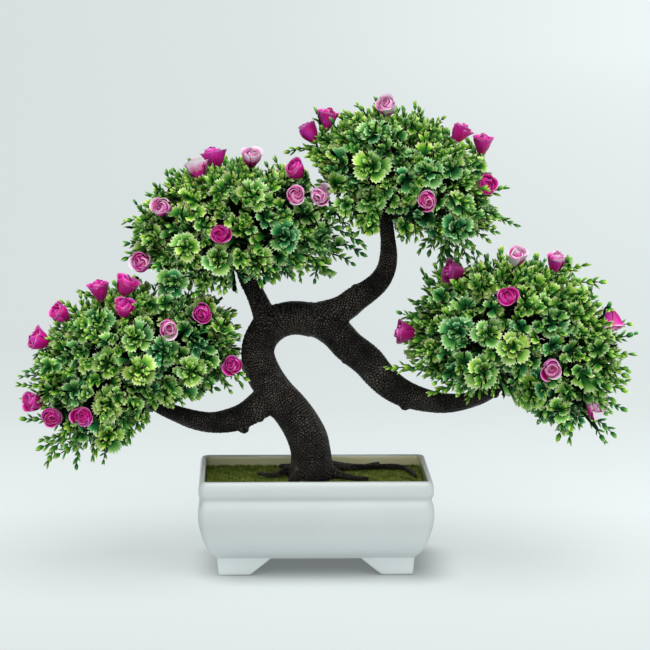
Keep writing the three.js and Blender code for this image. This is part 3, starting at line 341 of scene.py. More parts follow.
class Blade:
    """A thin closed leaf or petal on rows of points.

    t runs along it and s across it, from -1 to 1. Every point inside the outline is there twice,
    above and below, and under is 1 for the lower of the two. tooth is 1 at the tips of the rim.
    """

    def __init__(self, rows):
        t, s, under, tooth, upper_rows, lower_rows = [], [], [], [], [], []
        last = len(rows) - 1
        for number, (along, count) in enumerate(rows):
            upper, lower = [], []
            for i in range(count):
                across = 2 * i / (count - 1) - 1 if count > 1 else 0
                edge = number in (0, last) or i in (0, count - 1)
                rim = (1 if i % 2 else -1) if number == last and count > 1 else 0
                for side in (0,) if edge else (0, 1):
                    (lower if side else upper).append(len(t))
                    t.append(along)
                    s.append(across)
                    under.append(side)
                    tooth.append(rim)
                if edge:
                    lower.append(upper[-1])
            upper_rows.append(upper)
            lower_rows.append(lower)
        self.t, self.s, self.under, self.tooth = (np.array(v, float) for v in (t, s, under, tooth))
        faces = []
        for number in range(last):
            faces += strip(upper_rows[number], upper_rows[number + 1])
            faces += [face[::-1] for face in strip(lower_rows[number], lower_rows[number + 1])]
        self.faces = np.array(faces)
        self.rim = np.clip(self.t + 0.07 * self.tooth, 0, 1)

    def marks(self, along, second, fourth):
        """Marks for its points: along it, a value of its own, across it, and another value."""
        count = len(self.t)
        return np.stack([along, np.full(count, second), self.s * 0.5 + 0.5, np.full(count, fourth)], axis=1)


def axes_about(facing, spin=0.0):
    """Rows: two directions across facing, turned round it by spin, and facing itself."""
    facing = unit(facing)
    helper = (0.0, 0.0, 1.0) if abs(facing[2]) < 0.9 else (1.0, 0.0, 0.0)
    first = unit(np.cross(helper, facing))
    second = np.cross(facing, first)
    c, s = math.cos(spin), math.sin(spin)
    return np.array([first * c + second * s, second * c - first * s, facing])


def turned(local, axes, origin):
    return local @ axes + origin


def ring_faces(rows, count):
    """Triangles of a closed skin: rows of count points, followed by a middle point for each end."""
    faces = []
    for k in range(rows - 1):
        for i in range(count):
            j = (i + 1) % count
            a, b, c, d = k * count + i, k * count + j, (k + 1) * count + j, (k + 1) * count + i
            faces += [(a, b, c), (a, c, d)]
    start, end, last = rows * count, rows * count + 1, (rows - 1) * count
    for i in range(count):
        j = (i + 1) % count
        faces += [(start, j, i), (end, last + i, last + j)]
    return faces


def tube(form, line, radii, sides, mark):
    """A round closed tube along a line of points."""
    line, radii = np.asarray(line, float), np.broadcast_to(radii, (len(line),))
    along = unit(np.gradient(line, axis=0))
    side = axes_about(along[0])[0]
    angle = np.arange(sides) * 2 * math.pi / sides
    rings = []
    for place, ahead, radius in zip(line, along, radii):
        side = unit(side - ahead * (side @ ahead))
        up = np.cross(ahead, side)
        rings.append(place + radius * (np.outer(np.cos(angle), side) + np.outer(np.sin(angle), up)))
    form.add(np.concatenate(rings + [line[:1], line[-1:]]), ring_faces(len(line), sides), mark)


def loft(form, rings, mark=(0, 0, 0, 0)):
    """A closed skin over rings of equal length, capped at both ends by a fan."""
    points = np.concatenate(rings + [rings[0].mean(0)[None], rings[-1].mean(0)[None]])
    form.add(points, ring_faces(len(rings), len(rings[0])), mark)


def smooth_line(points, steps):
    """Points on a curve that passes through the given ones, each of any number of values."""
    p = np.asarray(points, float)
    p = np.concatenate([2 * p[:1] - p[1:2], p, 2 * p[-1:] - p[-2:-1]])
    out = []
    for i in range(1, len(p) - 2):
        a, b, c, d = p[i - 1], p[i], p[i + 1], p[i + 2]
        for f in np.arange(steps) / steps:
            out.append(b + 0.5 * f * (c - a + f * (2 * a - 5 * b + 4 * c - d + f * (3 * (b - c) + d - a))))
    return np.array(out + [p[-2]])


# The crown
def reach_at(reach, angle):
    """Reach of a head's outline at an angle, on a smooth closed curve through its twelve values."""
    reach = np.array(reach, float)
    place = (angle / (2 * np.pi)) % 1 * len(reach)
    index = np.floor(place).astype(int)
    f = place - index
    a, b, c, d = (reach[(index + k) % len(reach)] for k in (-1, 0, 1, 2))
    return b + 0.5 * f * (c - a + f * (2 * a - 5 * b + 4 * c - d + f * (3 * (b - c) + d - a)))


def depth_in(head, points):
    """How deep points lie in a head: below 1 is inside."""
    centre, depth, reach = HEADS[head]
    away = points - np.array(centre, float)
    flat = np.hypot(away[..., 0], away[..., 2])
    return np.hypot(flat / reach_at(reach, np.arctan2(away[..., 2], away[..., 0])), away[..., 1] / depth)


def crown_depth(points):
    """The same for the whole crown, with neighbouring heads blended where they meet."""
    return -np.log(sum(np.exp(-BLEND * depth_in(head, points)) for head in HEADS)) / BLEND


def crown_normal(points):
    step = np.eye(3) * 0.5
    slope = [crown_depth(points + step[k]) - crown_depth(points - step[k]) for k in range(3)]
    return unit(np.stack(slope, axis=-1))


def crown_surface(inner, outer):
    """Where straight ways from inner to outer points leave the crown."""
    near, far = np.zeros(len(outer)), np.ones(len(outer))
    for _ in range(14):
        middle = (near + far) / 2
        inside = crown_depth(inner + (outer - inner) * middle[:, None]) < 1
        near, far = np.where(inside, middle, near), np.where(inside, far, middle)
    return inner + (outer - inner) * near[:, None]


def head_centre(head):
    return np.array(HEADS[head][0], float)


def spray_of(head, point):
    away = point - head_centre(head)
    leans = [away[0] * math.cos(math.radians(h)) + away[1] * math.sin(math.radians(h))
             for h in SPRAY_HEADINGS]
    return int(np.argmax(leans))


def surface_at(head, x, z, side=-1):
    """The crown's surface in front of (or behind) a point of a head's middle plane."""
    centre, depth, _ = HEADS[head]
    middle = np.array([x, centre[1], z], float)
    if crown_depth(middle) >= 1:
        return middle
    outer = middle + np.array([0, side * depth * 1.4, 0])
    return crown_surface(middle[None], outer[None])[0]


def place_buds():
    buds = []
    for head in HEADS:
        for places, side in ((FRONT_BUDS[head], -1), (BACK_BUDS[head], 1)):
            for x, z in places:
                seat = surface_at(head, x, z, side)
                outward = unit(crown_normal(seat) + np.array([0, side * BUD_TURN, BUD_LIFT]))
                spray = spray_of(head, seat - outward * BUD_HEIGHT / 2)
                name = f"bud_{len(buds) + 1:02d}"
                facing = unit(BUD_FACINGS.get(name, outward))
                buds.append({"name": name, "head": head, "base": seat - facing * BUD_HEIGHT / 2,
                             "facing": facing, "outward": outward, "spray": spray})
    return buds


BUDS = place_buds()
BUD_MIDDLES = np.array([b["base"] + b["facing"] * BUD_HEIGHT * 0.55 for b in BUDS])

# Front and back of the part, in millimetres about the pot, and how far a leaf may stand past them
FRONT_LIMIT, BACK_LIMIT = ((corner[1] - POT_MIDDLE[1]) / MM for corner in cad_box)
LEAF_EXCESS = 2.2
SPRIG_LEAF, ROSETTE_SIDE, ROSETTE_RISE = 5.6, 1.12, 0.68

# Rosettes of the front from this radius on are clear ones; beside a bud, each stands back this far
CLEAR_ROSETTE, BUD_STEP_BACK = 6.5, 4.5


def between_limits(point, reach=SPRIG_LEAF):
    """A point moved inside the part's front and back, so that leaves of a given reach stay there too."""
    room = reach - LEAF_EXCESS
    return np.array([point[0], np.clip(point[1], FRONT_LIMIT + room, BACK_LIMIT - room), point[2]])


# Points along the limbs, with their radius, to keep leaves off them
LIMB_POINTS = np.concatenate([smooth_line(points, 4) for _, points in LIMBS])
BARE_POINTS = np.concatenate([smooth_line(points[:bare], 4) for bare, points in LIMBS])


class Leaves(Form):
    """A spray's leaves and stems."""

    def add_leaf(self, points, faces, marks):
        """Add a leaf, unless it would reach past the part's front or back."""
        if points[:, 1].min() > FRONT_LIMIT - LEAF_EXCESS and points[:, 1].max() < BACK_LIMIT + LEAF_EXCESS:
            self.add(points, faces, marks)


def bare_limb_before(point, radius):
    """Whether a leaf here would hide a limb that shows below the leaves."""
    near = np.hypot(BARE_POINTS[:, 0] - point[0], BARE_POINTS[:, 2] - point[2])
    return bool(np.any((near < BARE_POINTS[:, 3] + radius * 0.5) & (point[1] < BARE_POINTS[:, 1] + 4)))


def on_limb(point, radius):
    away = np.linalg.norm(LIMB_POINTS[:, :3] - point, axis=1)
    return bool(np.any(away < LIMB_POINTS[:, 3] + radius * 0.35))


def near_bud(point, room):
    """Whether a point lies on a rosebud, or within some room of it."""
    return bool(np.any(np.linalg.norm(BUD_MIDDLES - point, axis=1) < BUD_RADIUS + room))


def outline_at(head, angle, excess=0):
    """Reach of a head's leaves at an angle, or of what stands some way past them."""
    return reach_at(HEADS[head][2], angle) - LEAF_INSET + excess


def within_outline(head, point, margin, excess=0):
    """A point moved towards its head's middle until it lies inside an outline."""
    away = point - head_centre(head)
    flat = math.hypot(away[0], away[2])
    limit = outline_at(head, math.atan2(away[2], away[0]), excess) - margin
    share = min(1.0, limit / max(flat, 1e-6))
    return head_centre(head) + away * (share, 1.0, share)


# The leaves
FAN = Blade([(0.06, 3), (0.36, 5), (0.72, 7), (1.0, 15)])
PLAIN_FAN = Blade([(0.06, 3), (0.55, 5), (1.0, 11)])
SMALL_FAN = Blade([(0.08, 3), (0.56, 5), (1.0, 9)])
TINY_FAN = Blade([(0.1, 2), (0.6, 3), (1.0, 5)])
DARK_FAN = Blade([(0.1, 2), (0.6, 3), (1.0, 7)])
LANCE = Blade([(0.0, 1), (0.32, 3), (0.7, 3), (1.0, 1)])
TOWARDS_VIEWER = unit(np.array(CAMERA_PLACE) - np.array([0, 0, 110]))


def leaflet(blade, length, spread, rise, fall, cup, tilt, ruffle, phase, thick=0.32):
    """A fan-shaped leaflet that lies along +X from a rosette's middle, with a toothed rim."""
    t, s = blade.t, blade.s
    reach = length * (t * (1 - 0.25 * s**2 * t) + 0.065 * blade.tooth)
    angle = s * spread * (0.82 + 0.28 * t)
    height = rise * t - fall * t**2 + (cup * s**2 + tilt * s) * t
    height += ruffle * np.sin(2.6 * math.pi * s + phase) * t**2 + 0.03 * blade.tooth
    z = length * height - thick * blade.under
    return np.stack([reach * np.cos(angle), reach * np.sin(angle), z], axis=1)


def rosette(form, rng, place, facing, radius, tone, shade, kind="full"):
    """Tiers of toothed leaflets about one middle, the inner ones smaller and more upright."""
    shut = rng.uniform(0, 0.6) ** 1.5
    wild = {"full": 0.06, "wild": 0.22, "simple": 0.2}[kind]
    tiers = [(FAN, 1.0, rng.integers(5, 7), 0.5 + shut, 0.36, 0.28, 1.12),
             (SMALL_FAN, 0.62, 4, 0.95 + shut, 0.4, 0.35, 1.0),
             (TINY_FAN, 0.36, 3, 1.5, 0.3, 0.3, 1.0)]
    if kind == "wild":
        tiers = [(PLAIN_FAN, 1.0, rng.integers(5, 7), 0.55 + shut, 0.4, 0.3, 1.1),
                 (SMALL_FAN, 0.64, rng.integers(3, 5), 0.95 + shut, 0.4, 0.35, 0.9)]
    if kind == "simple":
        tiers = [(DARK_FAN, 1.0, 5, 0.6, 0.35, 0.2, 1.1)]
    for tier, (blade, size, count, rise, fall, cup, overlap) in enumerate(tiers):
        start = rng.uniform(0, 2 * math.pi)
        for k in range(count):
            length = radius * size * rng.uniform(0.8, 1.12)
            local = leaflet(blade, length, math.pi / count * overlap * rng.uniform(0.86, 1.05),
                            rise + rng.normal(0, 0.1 + wild), fall + rng.normal(0, 0.1),
                            cup + rng.normal(0, 0.1), 0.2 + rng.normal(0, 0.1), 0.07, rng.uniform(0, 6.28))
            axes = axes_about(facing + rng.normal(0, wild, 3),
                              start + 2 * math.pi * k / count + rng.normal(0, 0.12))
            if kind == "wild" and rng.uniform() < 0.2:
                continue
            own = np.clip(tone + rng.normal(0, 0.16) + 0.05 * tier, 0, 1)
            dim = 1 - 0.45 * (own * 37.7 % 1) ** 3
            form.add_leaf(turned(local, axes, place + facing * 0.35 * tier), blade.faces,
                          blade.marks(blade.rim, own, shade * dim))


def loose_fan(form, rng, place, facing, radius, tone, shade):
    """Two or three leaflets that point the same way, as where a rosette is seen from beside it."""
    start = rng.uniform(0, 2 * math.pi)
    for k in range(rng.integers(2, 4)):
        blade = PLAIN_FAN if k == 0 else SMALL_FAN
        local = leaflet(blade, radius * rng.uniform(0.75, 1.15), rng.uniform(0.5, 0.75),
                        rng.uniform(0.3, 1.2), 0.4, 0.3, rng.normal(0, 0.12), 0.05, rng.uniform(0, 6.28))
        axes = axes_about(facing + rng.normal(0, 0.35, 3), start + k * 0.9 + rng.normal(0, 0.25))
        own = np.clip(tone + rng.normal(0, 0.12), 0, 1)
        form.add_leaf(turned(local, axes, place), blade.faces, blade.marks(blade.rim, own, shade))


def sprig(form, rng, line, tone, leaf_length, first=0.3):
    """A thin stem along a line of points with opposite narrow leaves and a pair at its tip."""
    line = smooth_line(line, 5)
    lengths = np.linalg.norm(np.diff(line, axis=0), axis=1)
    run = np.concatenate([[0], np.cumsum(lengths)])
    tube(form, line[::3], np.linspace(0.42, 0.24, len(line[::3])), 4, (0.1, 0.1, 0.5, 0.4))
    pairs = max(round(run[-1] * (1 - first) / 2.7), 2)
    spin = rng.uniform(0, math.pi)
    for k in range(pairs + 1):
        share = first + (1 - first) * (k / pairs)
        at = np.array([np.interp(share * run[-1], run, line[:, c]) for c in range(3)])
        index = min(np.searchsorted(run, share * run[-1]), len(line) - 1)
        ahead = unit(line[index] - line[max(index - 1, 0)])
        axes = axes_about(ahead, spin + k * math.pi / 2 + rng.normal(0, 0.2))
        for sign in (-1, 1):
            opening = rng.uniform(0.55, 0.95) if k < pairs else rng.uniform(0.2, 0.5)
            out = unit(ahead * math.cos(opening) + axes[0] * sign * math.sin(opening))
            length = leaf_length * rng.uniform(0.75, 1.1) * (1 - 0.25 * abs(share - 0.6))
            lance(form, rng, at, out, ahead, length, tone)


def lance(form, rng, place, out, up, length, tone):
    """One narrow pointed leaf along out, its upper side towards up."""
    t, s = LANCE.t, LANCE.s
    width = length * 0.25 * np.sin(math.pi * np.clip(t * 0.9 + 0.08, 0, 1)) ** 0.8
    lift = length * (0.12 * t**2 + 0.1 * np.abs(s) * (t > 0) * (t < 1)) - 0.28 * LANCE.under
    local = np.stack([length * t, width * s, lift], axis=1)
    out = unit(out)
    z = unit(up - out * (up @ out))
    axes = np.array([out, np.cross(z, out), z])
    tone = np.clip(tone + rng.normal(0, 0.12), 0, 1)
    form.add_leaf(turned(local, axes, place), LANCE.faces, LANCE.marks(0.25 + 0.72 * t, tone, 1.0))


def golden_places(head, count):
    """Places on the crown round a head: their points and outward directions."""
    centre, depth, reach = HEADS[head]
    i = np.arange(count)
    swell = np.arcsin(-1 + 2 * (i + 0.5) / count)
    angle = (i * math.pi * (3 - math.sqrt(5))) % (2 * math.pi)
    flat = reach_at(reach, angle) * np.cos(swell) * 1.35
    outer = np.array(centre, float) + np.stack(
        [flat * np.cos(angle), depth * np.sin(swell) * 1.35, flat * np.sin(angle)], axis=1)
    outer = outer[crown_depth(outer) >= 1]
    surface = crown_surface(np.array(centre, float), outer)
    return surface, crown_normal(surface)


class Foliage:
    """All rosettes, sprigs and stems, gathered by spray."""

    def __init__(self):
        self.forms = {(head, i): Leaves() for head in HEADS for i in range(len(SPRAY_HEADINGS))}
        self.taken = np.zeros((0, 4))

    def form_at(self, head, point):
        return self.forms[head, spray_of(head, point)]

    def free(self, point, radius, closeness):
        if not len(self.taken):
            return True
        away = np.linalg.norm(self.taken[:, :3] - point, axis=1)
        return bool(np.all(away > (self.taken[:, 3] + radius) * closeness))

    def stem(self, rng, head, point, facing, share=0.3, radius=0.42):
        """A thin curved stem from a leaf inwards."""
        inner = head_centre(head) + (point - head_centre(head)) * share
        bend = point - facing * 0.35 * np.linalg.norm(point - inner)
        line = smooth_line([inner, (inner + bend) / 2 + rng.normal(0, 1, 3), bend, point], 2)
        tube(self.form_at(head, point), line, radius, 4, (0.05, 0.1, 0.5, 0.2))

    def put(self, rng, head, point, facing, radius, tone, shade, kind="full"):
        aside = math.sqrt(max(1 - facing[1] ** 2, 0))
        point = between_limits(point, radius * (ROSETTE_SIDE * aside + ROSETTE_RISE * abs(facing[1])))
        self.taken = np.vstack([self.taken, [*point, radius]])
        form = self.form_at(head, point)
        if kind == "loose":
            loose_fan(form, rng, point, facing, radius, tone, shade)
        else:
            rosette(form, rng, point, facing, radius, tone, shade, kind)
        self.stem(rng, head, point, facing, 0.6 if kind == "loose" else 0.3)

    def put_front(self, rng):
        """The rosettes that face the viewer, each in its own place."""
        for head, places in ROSETTES.items():
            for x, z, radius, tone in places:
                surface = surface_at(head, x, z)
                normal = crown_normal(surface)
                clear = radius >= CLEAR_ROSETTE
                apart = np.linalg.norm((BUD_MIDDLES - surface)[:, (0, 2)], axis=1)
                beside = np.any(apart < BUD_RADIUS + 0.8 * radius)
                sink = rng.uniform(-1.5, 2) if clear else rng.uniform(0, 5)
                point = surface - normal * (sink + BUD_STEP_BACK * beside)
                facing = TOWARDS_VIEWER * 0.9 + normal * 0.5 + rng.normal(0, 0.16 if clear else 0.4, 3)
                self.put(rng, head, point, unit(facing + (0, 0, 0.2)), radius, tone, 1.0,
                         "full" if clear else "wild")

    def fill(self, rng, kind, share, closeness, sizes, shade, count):
        """Rosettes on every free place of the crown, or of a smaller copy of it."""
        for head in HEADS:
            surface, normals = golden_places(head, count)
            centre = head_centre(head)
            for at, normal in zip(surface, normals):
                sink = share * rng.uniform(0.86, 1.0)
                radius = rng.uniform(*sizes)
                lean = rng.normal(0, 0.42, 3)
                tone = rng.beta(1.3, 1.4)
                margin = 0.6 * radius + rng.uniform(-1.5, 3.5)
                point = within_outline(head, centre + (at - centre) * sink, margin)
                if (bare_limb_before(point, radius) or on_limb(point, radius)
                        or near_bud(point, 0.45 * radius) or not self.free(point, radius, closeness)):
                    continue
                # Painted light: leaves that face upwards get a yellower, brighter tone, as if lit from
                # above.
                tone = np.clip(tone * 0.75 + 0.06 + 0.5 * normal[2], 0, 1)
                self.put(rng, head, point, unit(normal + lean + (0, 0, 0.25)), radius, tone,
                         shade * (1 - 0.6 * rng.beta(1, 2.2)), kind)

    def put_sprigs(self, rng):
        for head, places in SPRIGS.items():
            centre = head_centre(head)
            for x0, z0, x1, z1 in places:
                y = centre[1] + rng.uniform(-9, 5)
                start, tip = np.array([x0, y, z0]), np.array([x1, y + rng.uniform(-3, 3), z1])
                root = start + (centre - start) * 0.35
                bow = (start + tip) / 2 + np.array([0, 0, rng.uniform(-0.5, 1.5)])
                sprig(self.form_at(head, start), rng, [root, start, bow, tip], rng.uniform(0.2, 0.9),
                      rng.uniform(4.0, 5.4), first=0.35)

    def fill_sprigs(self, rng, count=230):
        """Sprigs all round, which end a little past the rosettes."""
        for head in HEADS:
            surface, normals = golden_places(head, count)
            centre = head_centre(head)
            for at, normal in zip(surface, normals):
                way = unit(normal + rng.normal(0, 0.45, 3) + np.array([0, 0, -0.12]))
                length = rng.uniform(2, 7)
                tone = rng.uniform(0.25, 1.0)
                start = within_outline(head, centre + (at - centre) * 0.84, 5)
                tip = between_limits(within_outline(head, at + way * length, 1, SPRIG_EXCESS))
                if bare_limb_before(tip, 5) or on_limb(start, 4) or on_limb(tip, 4) or near_bud(tip, 3):
                    continue
                root = start + (centre - start) * 0.3
                sprig(self.form_at(head, start), rng, [root, start, (start + tip) / 2, tip], tone,
                      rng.uniform(3.8, 5.4), first=0.45)

    def edge_sprigs(self, rng, count=200):
        """More of them round the rim of each head."""
        for head in HEADS:
            centre, depth = head_centre(head), HEADS[head][1]
            for _ in range(count):
                turn = rng.uniform(0, 2 * math.pi)
                inner, outer = outline_at(head, turn), outline_at(head, turn, SPRIG_EXCESS)
                height = rng.uniform(-0.75, 0.75)
                room = math.sqrt(1 - height**2)
                way = np.array([math.cos(turn), 0, math.sin(turn)])
                start = centre + way * inner * room * rng.uniform(0.6, 0.9) + (0, height * depth, 0)
                tip = centre + way * outer * room * rng.uniform(0.88, 1.0) + (0, height * depth, 0)
                aside = np.array([-way[2], 0, way[0]]) * rng.normal(0, 4)
                tip = between_limits(tip + aside + rng.normal(0, 1.5, 3))
                if (rng.uniform(0, 9) > SPRIG_EXCESS or bare_limb_before(tip, 4) or on_limb(tip, 4)
                        or near_bud(tip, 3)):
                    continue
                bow = (start + tip) / 2 + rng.normal(0, 1, 3)
                sprig(self.form_at(head, start), rng, [start, bow, tip], rng.uniform(0.25, 1.0),
                      rng.uniform(3.8, 5.2), first=0.25)

    def put_bud_stems(self, rng):
        """Each bud's stem, and the narrow sepals that hold it."""
        for bud in BUDS:
            form = self.forms[bud["head"], bud["spray"]]
            centre = head_centre(bud["head"])
            base, facing = bud["base"], bud["facing"]
            inner = centre + (base - centre) * 0.4
            bend = 3.2 + 1.8 * (facing @ bud["outward"])
            way = [inner, base - facing * bend + rng.normal(0, 0.6, 3), base - facing * 0.2]
            if facing[2] < -0.5:
                back = unit(inner - base)
                way = [inner, base + back * 5.5 - (0, 0, 3.5), base + back * 2.2 + (0, 0, 0.6),
                       base - facing * 0.2]
            line = smooth_line(way, 4)
            tube(form, line, np.linspace(0.65, 0.5, len(line)), 6, (0.05, 0.05, 0.5, 0.2))
            for k in range(5):
                axes = axes_about(facing, 2 * math.pi * k / 5)
                lance(form, rng, base - facing * 0.4, facing * 0.8 + axes[0], -axes[0] + facing, 3.2, 0.9)

    def put_branches(self, rng):
        """Woody twigs that fork from each limb's end inside a head."""
        for head in HEADS:
            centre = head_centre(head)
            surface, _ = golden_places(head, 26)
            for at in surface:
                tip = centre + (at - centre) * 0.62
                middle = (centre + tip) / 2 + rng.normal(0, 2, 3)
                line = smooth_line([centre, middle, tip], 3)
                tube(self.form_at(head, tip), line, np.linspace(1.1, 0.5, len(line)), 5, (0, 0, 0.5, 0.0))


# The rosebuds
PETAL = Blade([(0.0, 3), (0.22, 5), (0.45, 7), (0.64, 9), (0.8, 9), (0.92, 9), (1.0, 9)])
ROLL = Blade([(0.0, 13), (0.7, 17), (1.0, 17)])


def petal(form, axes, base, spin, radius, height, span, flare, close, white_or_shade, whorl):
    """A petal round a bud's axis: s goes round it and t up it.

    flare turns the middle of its lip outwards to a point, and close bends the whole lip inwards.
    """
    t, s, under = PETAL.t, PETAL.s, PETAL.under
    angle = spin + s * span * (0.35 + 0.65 * np.sqrt(t))
    middle = 1 - s**2
    lip = np.clip((t - 0.55) / 0.45, 0, 1) ** 2
    girth = 0.16 + 0.84 * np.sin(math.pi / 2 * np.clip(t * 1.15, 0, 1)) ** 0.9
    away = radius * (girth + lip * (flare * middle - close)) * (1 + 0.05 * s) - 0.4 * under
    z = height * (t * (0.94 + 0.06 * middle * t) - 0.12 * flare * lip)
    local = np.stack([away * np.cos(angle), away * np.sin(angle), z], axis=1)
    form.add(turned(local, axes, base), PETAL.faces[:, ::-1], PETAL.marks(t, white_or_shade, whorl))


def heart(form, axes, base, white_or_shade, spin):
    """A low solid dome inside the whorls, grooved in a spiral like petals rolled tight."""
    angle = np.arange(24) * 2 * math.pi / 24
    rings, levels = [], []
    for share in (0.3, 0.66, 0.7, 0.64, 0.58, 0.52, 0.46, 0.4, 0.34, 0.28, 0.22, 0.16, 0.1):
        ridge = np.sin(angle + share * 24 + spin)
        height = 0.86 - 0.24 * share if levels[1:] else 0.35 + 0.3 * len(levels)
        away = BUD_RADIUS * share * (1 + 0.04 * np.cos(3 * angle))
        z = BUD_HEIGHT * (height + 0.022 * ridge)
        rings.append(turned(np.stack([away * np.cos(angle), away * np.sin(angle), z], axis=1), axes, base))
        # Painted shade and light: the colour is darker in the spiral grooves and lighter on their ridges.
        levels.append(0.74 + 0.2 * ridge)
    along = np.append(np.concatenate(levels), (0.3, 0.8))
    loft(form, rings, np.stack([along, np.full(len(along), white_or_shade), np.full(len(along), 0.5),
                                np.full(len(along), 0.3)], axis=1))


def rosebud(bud, rng):
    """Three outer petals with pointed lips, two whorls that close inwards, and a rolled heart."""
    form = Form()
    axes = axes_about(bud["facing"], 0)
    base, facing = bud["base"], bud["facing"]
    first, white_or_shade = BUD_PETALS.get(bud["name"], (rng.normal(0, 1, 3), 0.0))
    spin = math.atan2(axes[1] @ np.array(first), axes[0] @ np.array(first))
    shut = float(np.clip((facing @ TOWARDS_VIEWER - 0.4) / 0.4, 0, 1))

    def tilted():
        return axes_about(facing + rng.normal(0, 0.07, 3), 0)

    # The white stays on one side of the bud
    whites = (1.0, 0.35, 0.1) if white_or_shade > 0 else (1.0, 1.0, 1.0)
    for white, turn in zip(whites, (0, 2.1, 4.2)):
        petal(form, tilted(), base, spin + turn + rng.normal(0, 0.1), BUD_RADIUS * rng.uniform(0.82, 0.9),
              BUD_HEIGHT * rng.uniform(0.88, 0.96), 1.2, rng.uniform(0.26, 0.46) * (1 - 0.35 * shut),
              0.14 * shut, white_or_shade * white, rng.uniform(0, 0.25))
    aside = axes[0] * rng.normal(0, 0.4) + axes[1] * rng.normal(0, 0.4)
    for k in range(3):
        petal(form, tilted(), base + facing * 0.2 + aside * 0.5, spin + 1.05 + 2.1 * k + rng.normal(0, 0.3),
              BUD_RADIUS * (rng.uniform(0.68, 0.76) + 0.05 * shut), BUD_HEIGHT * rng.uniform(0.9, 0.98),
              1.3, 0.1, rng.uniform(0.3, 0.46), white_or_shade * 0.3, rng.uniform(0.2, 0.6))
    heart(form, axes, base + aside, white_or_shade * 0.3, spin)
    for k in range(2):
        petal(form, tilted(), base + facing * 0.5 + aside, spin + 0.4 + 3.1 * k + rng.normal(0, 0.4),
              BUD_RADIUS * (rng.uniform(0.44, 0.52) + 0.05 * shut), BUD_HEIGHT * rng.uniform(0.94, 1.02),
              1.6, 0.0, rng.uniform(0.36, 0.52), white_or_shade * 0.2, rng.uniform(0.4, 1.0))
    t, s, under = ROLL.t, ROLL.s, ROLL.under
    turn = (s + 1) / 2
    angle = turn * 2 * math.pi * 1.2 + spin
    away = BUD_RADIUS * (0.19 - 0.12 * turn) * (0.8 + 0.2 * t) - 0.2 * under
    z = BUD_HEIGHT * (0.3 + 0.68 * t)
    local = np.stack([away * np.cos(angle), away * np.sin(angle), z], axis=1)
    form.add(turned(local, axes, base + aside * 1.3), ROLL.faces[:, ::-1], ROLL.marks(t, white_or_shade * 0.2, 0.9))
    return form.make("rose_" + bud["name"], 50)


# The trunk
# Length and width of the scales in the mesh, and of the finer ones in the material
SCALE_ROW, SCALE_WIDTH = 1.35, 1.3
FINE_ROW, FINE_WIDTH = 1.05, 1.15
# The trunk's foot, where the scales follow the trunk and not the roots: heights and radius
FLARE_LOW, FLARE_HIGH, FLARE_RADIUS = 38.5, 60, 11.5
SKIN_VOXEL, LIMB_END_RADIUS = 0.52, 4.2


def limb_frames(points, step=0.5):
    """Places along a limb, their radii, side directions and run from the start."""
    line = smooth_line(points, 12)
    run = np.concatenate([[0], np.cumsum(np.linalg.norm(np.diff(line[:, :3], axis=0), axis=1))])
    at = np.arange(0, run[-1], step)
    line = np.stack([np.interp(at, run, line[:, c]) for c in range(4)], axis=1)
    ahead = unit(np.gradient(line[:, :3], axis=0))
    side = axes_about(ahead[0])[0]
    sides = []
    for direction in ahead:
        side = unit(side - direction * (side @ direction))
        sides.append(side)
    return line, ahead, np.array(sides), at


def bark_relief(along, angle, columns, knot):
    """Height of the bark, in millimetres: rows of small uneven scales broken by long grooves."""
    row = along / SCALE_ROW + 0.35 * np.sin(3 * angle + along / 9) + 0.2 * np.sin(7 * angle + along / 4)
    column = angle / (2 * math.pi) * columns + 0.5 * (np.floor(row) % 2) + 0.2 * np.sin(along / 5)
    scale = np.abs(np.sin(math.pi * column)) ** 0.6 * (1 - ((row % 1) - 0.45) ** 2 * 2.4)
    patch = 0.55 + 0.45 * np.sin(2 * angle + along / 11 + knot) * np.sin(along / 7 - angle)
    groove = np.sin(3 * angle + 1.5 * np.sin(along / 13) + knot)
    ridge = np.sin(9 * angle + 2 * np.sin(along / 8) + knot)
    return 0.55 * scale * patch - 0.45 * np.clip(groove - 0.7, 0, 1) + 0.12 * ridge * (1 - patch)


def scale_columns(owner, line, width):
    """How many scales go round each limb, for every place along every limb."""
    typical = {k: np.median(line[owner == k, 3]) for k in np.unique(owner)}
    return np.array([max(round(2 * math.pi * typical[k] / width), 4) for k in owner])


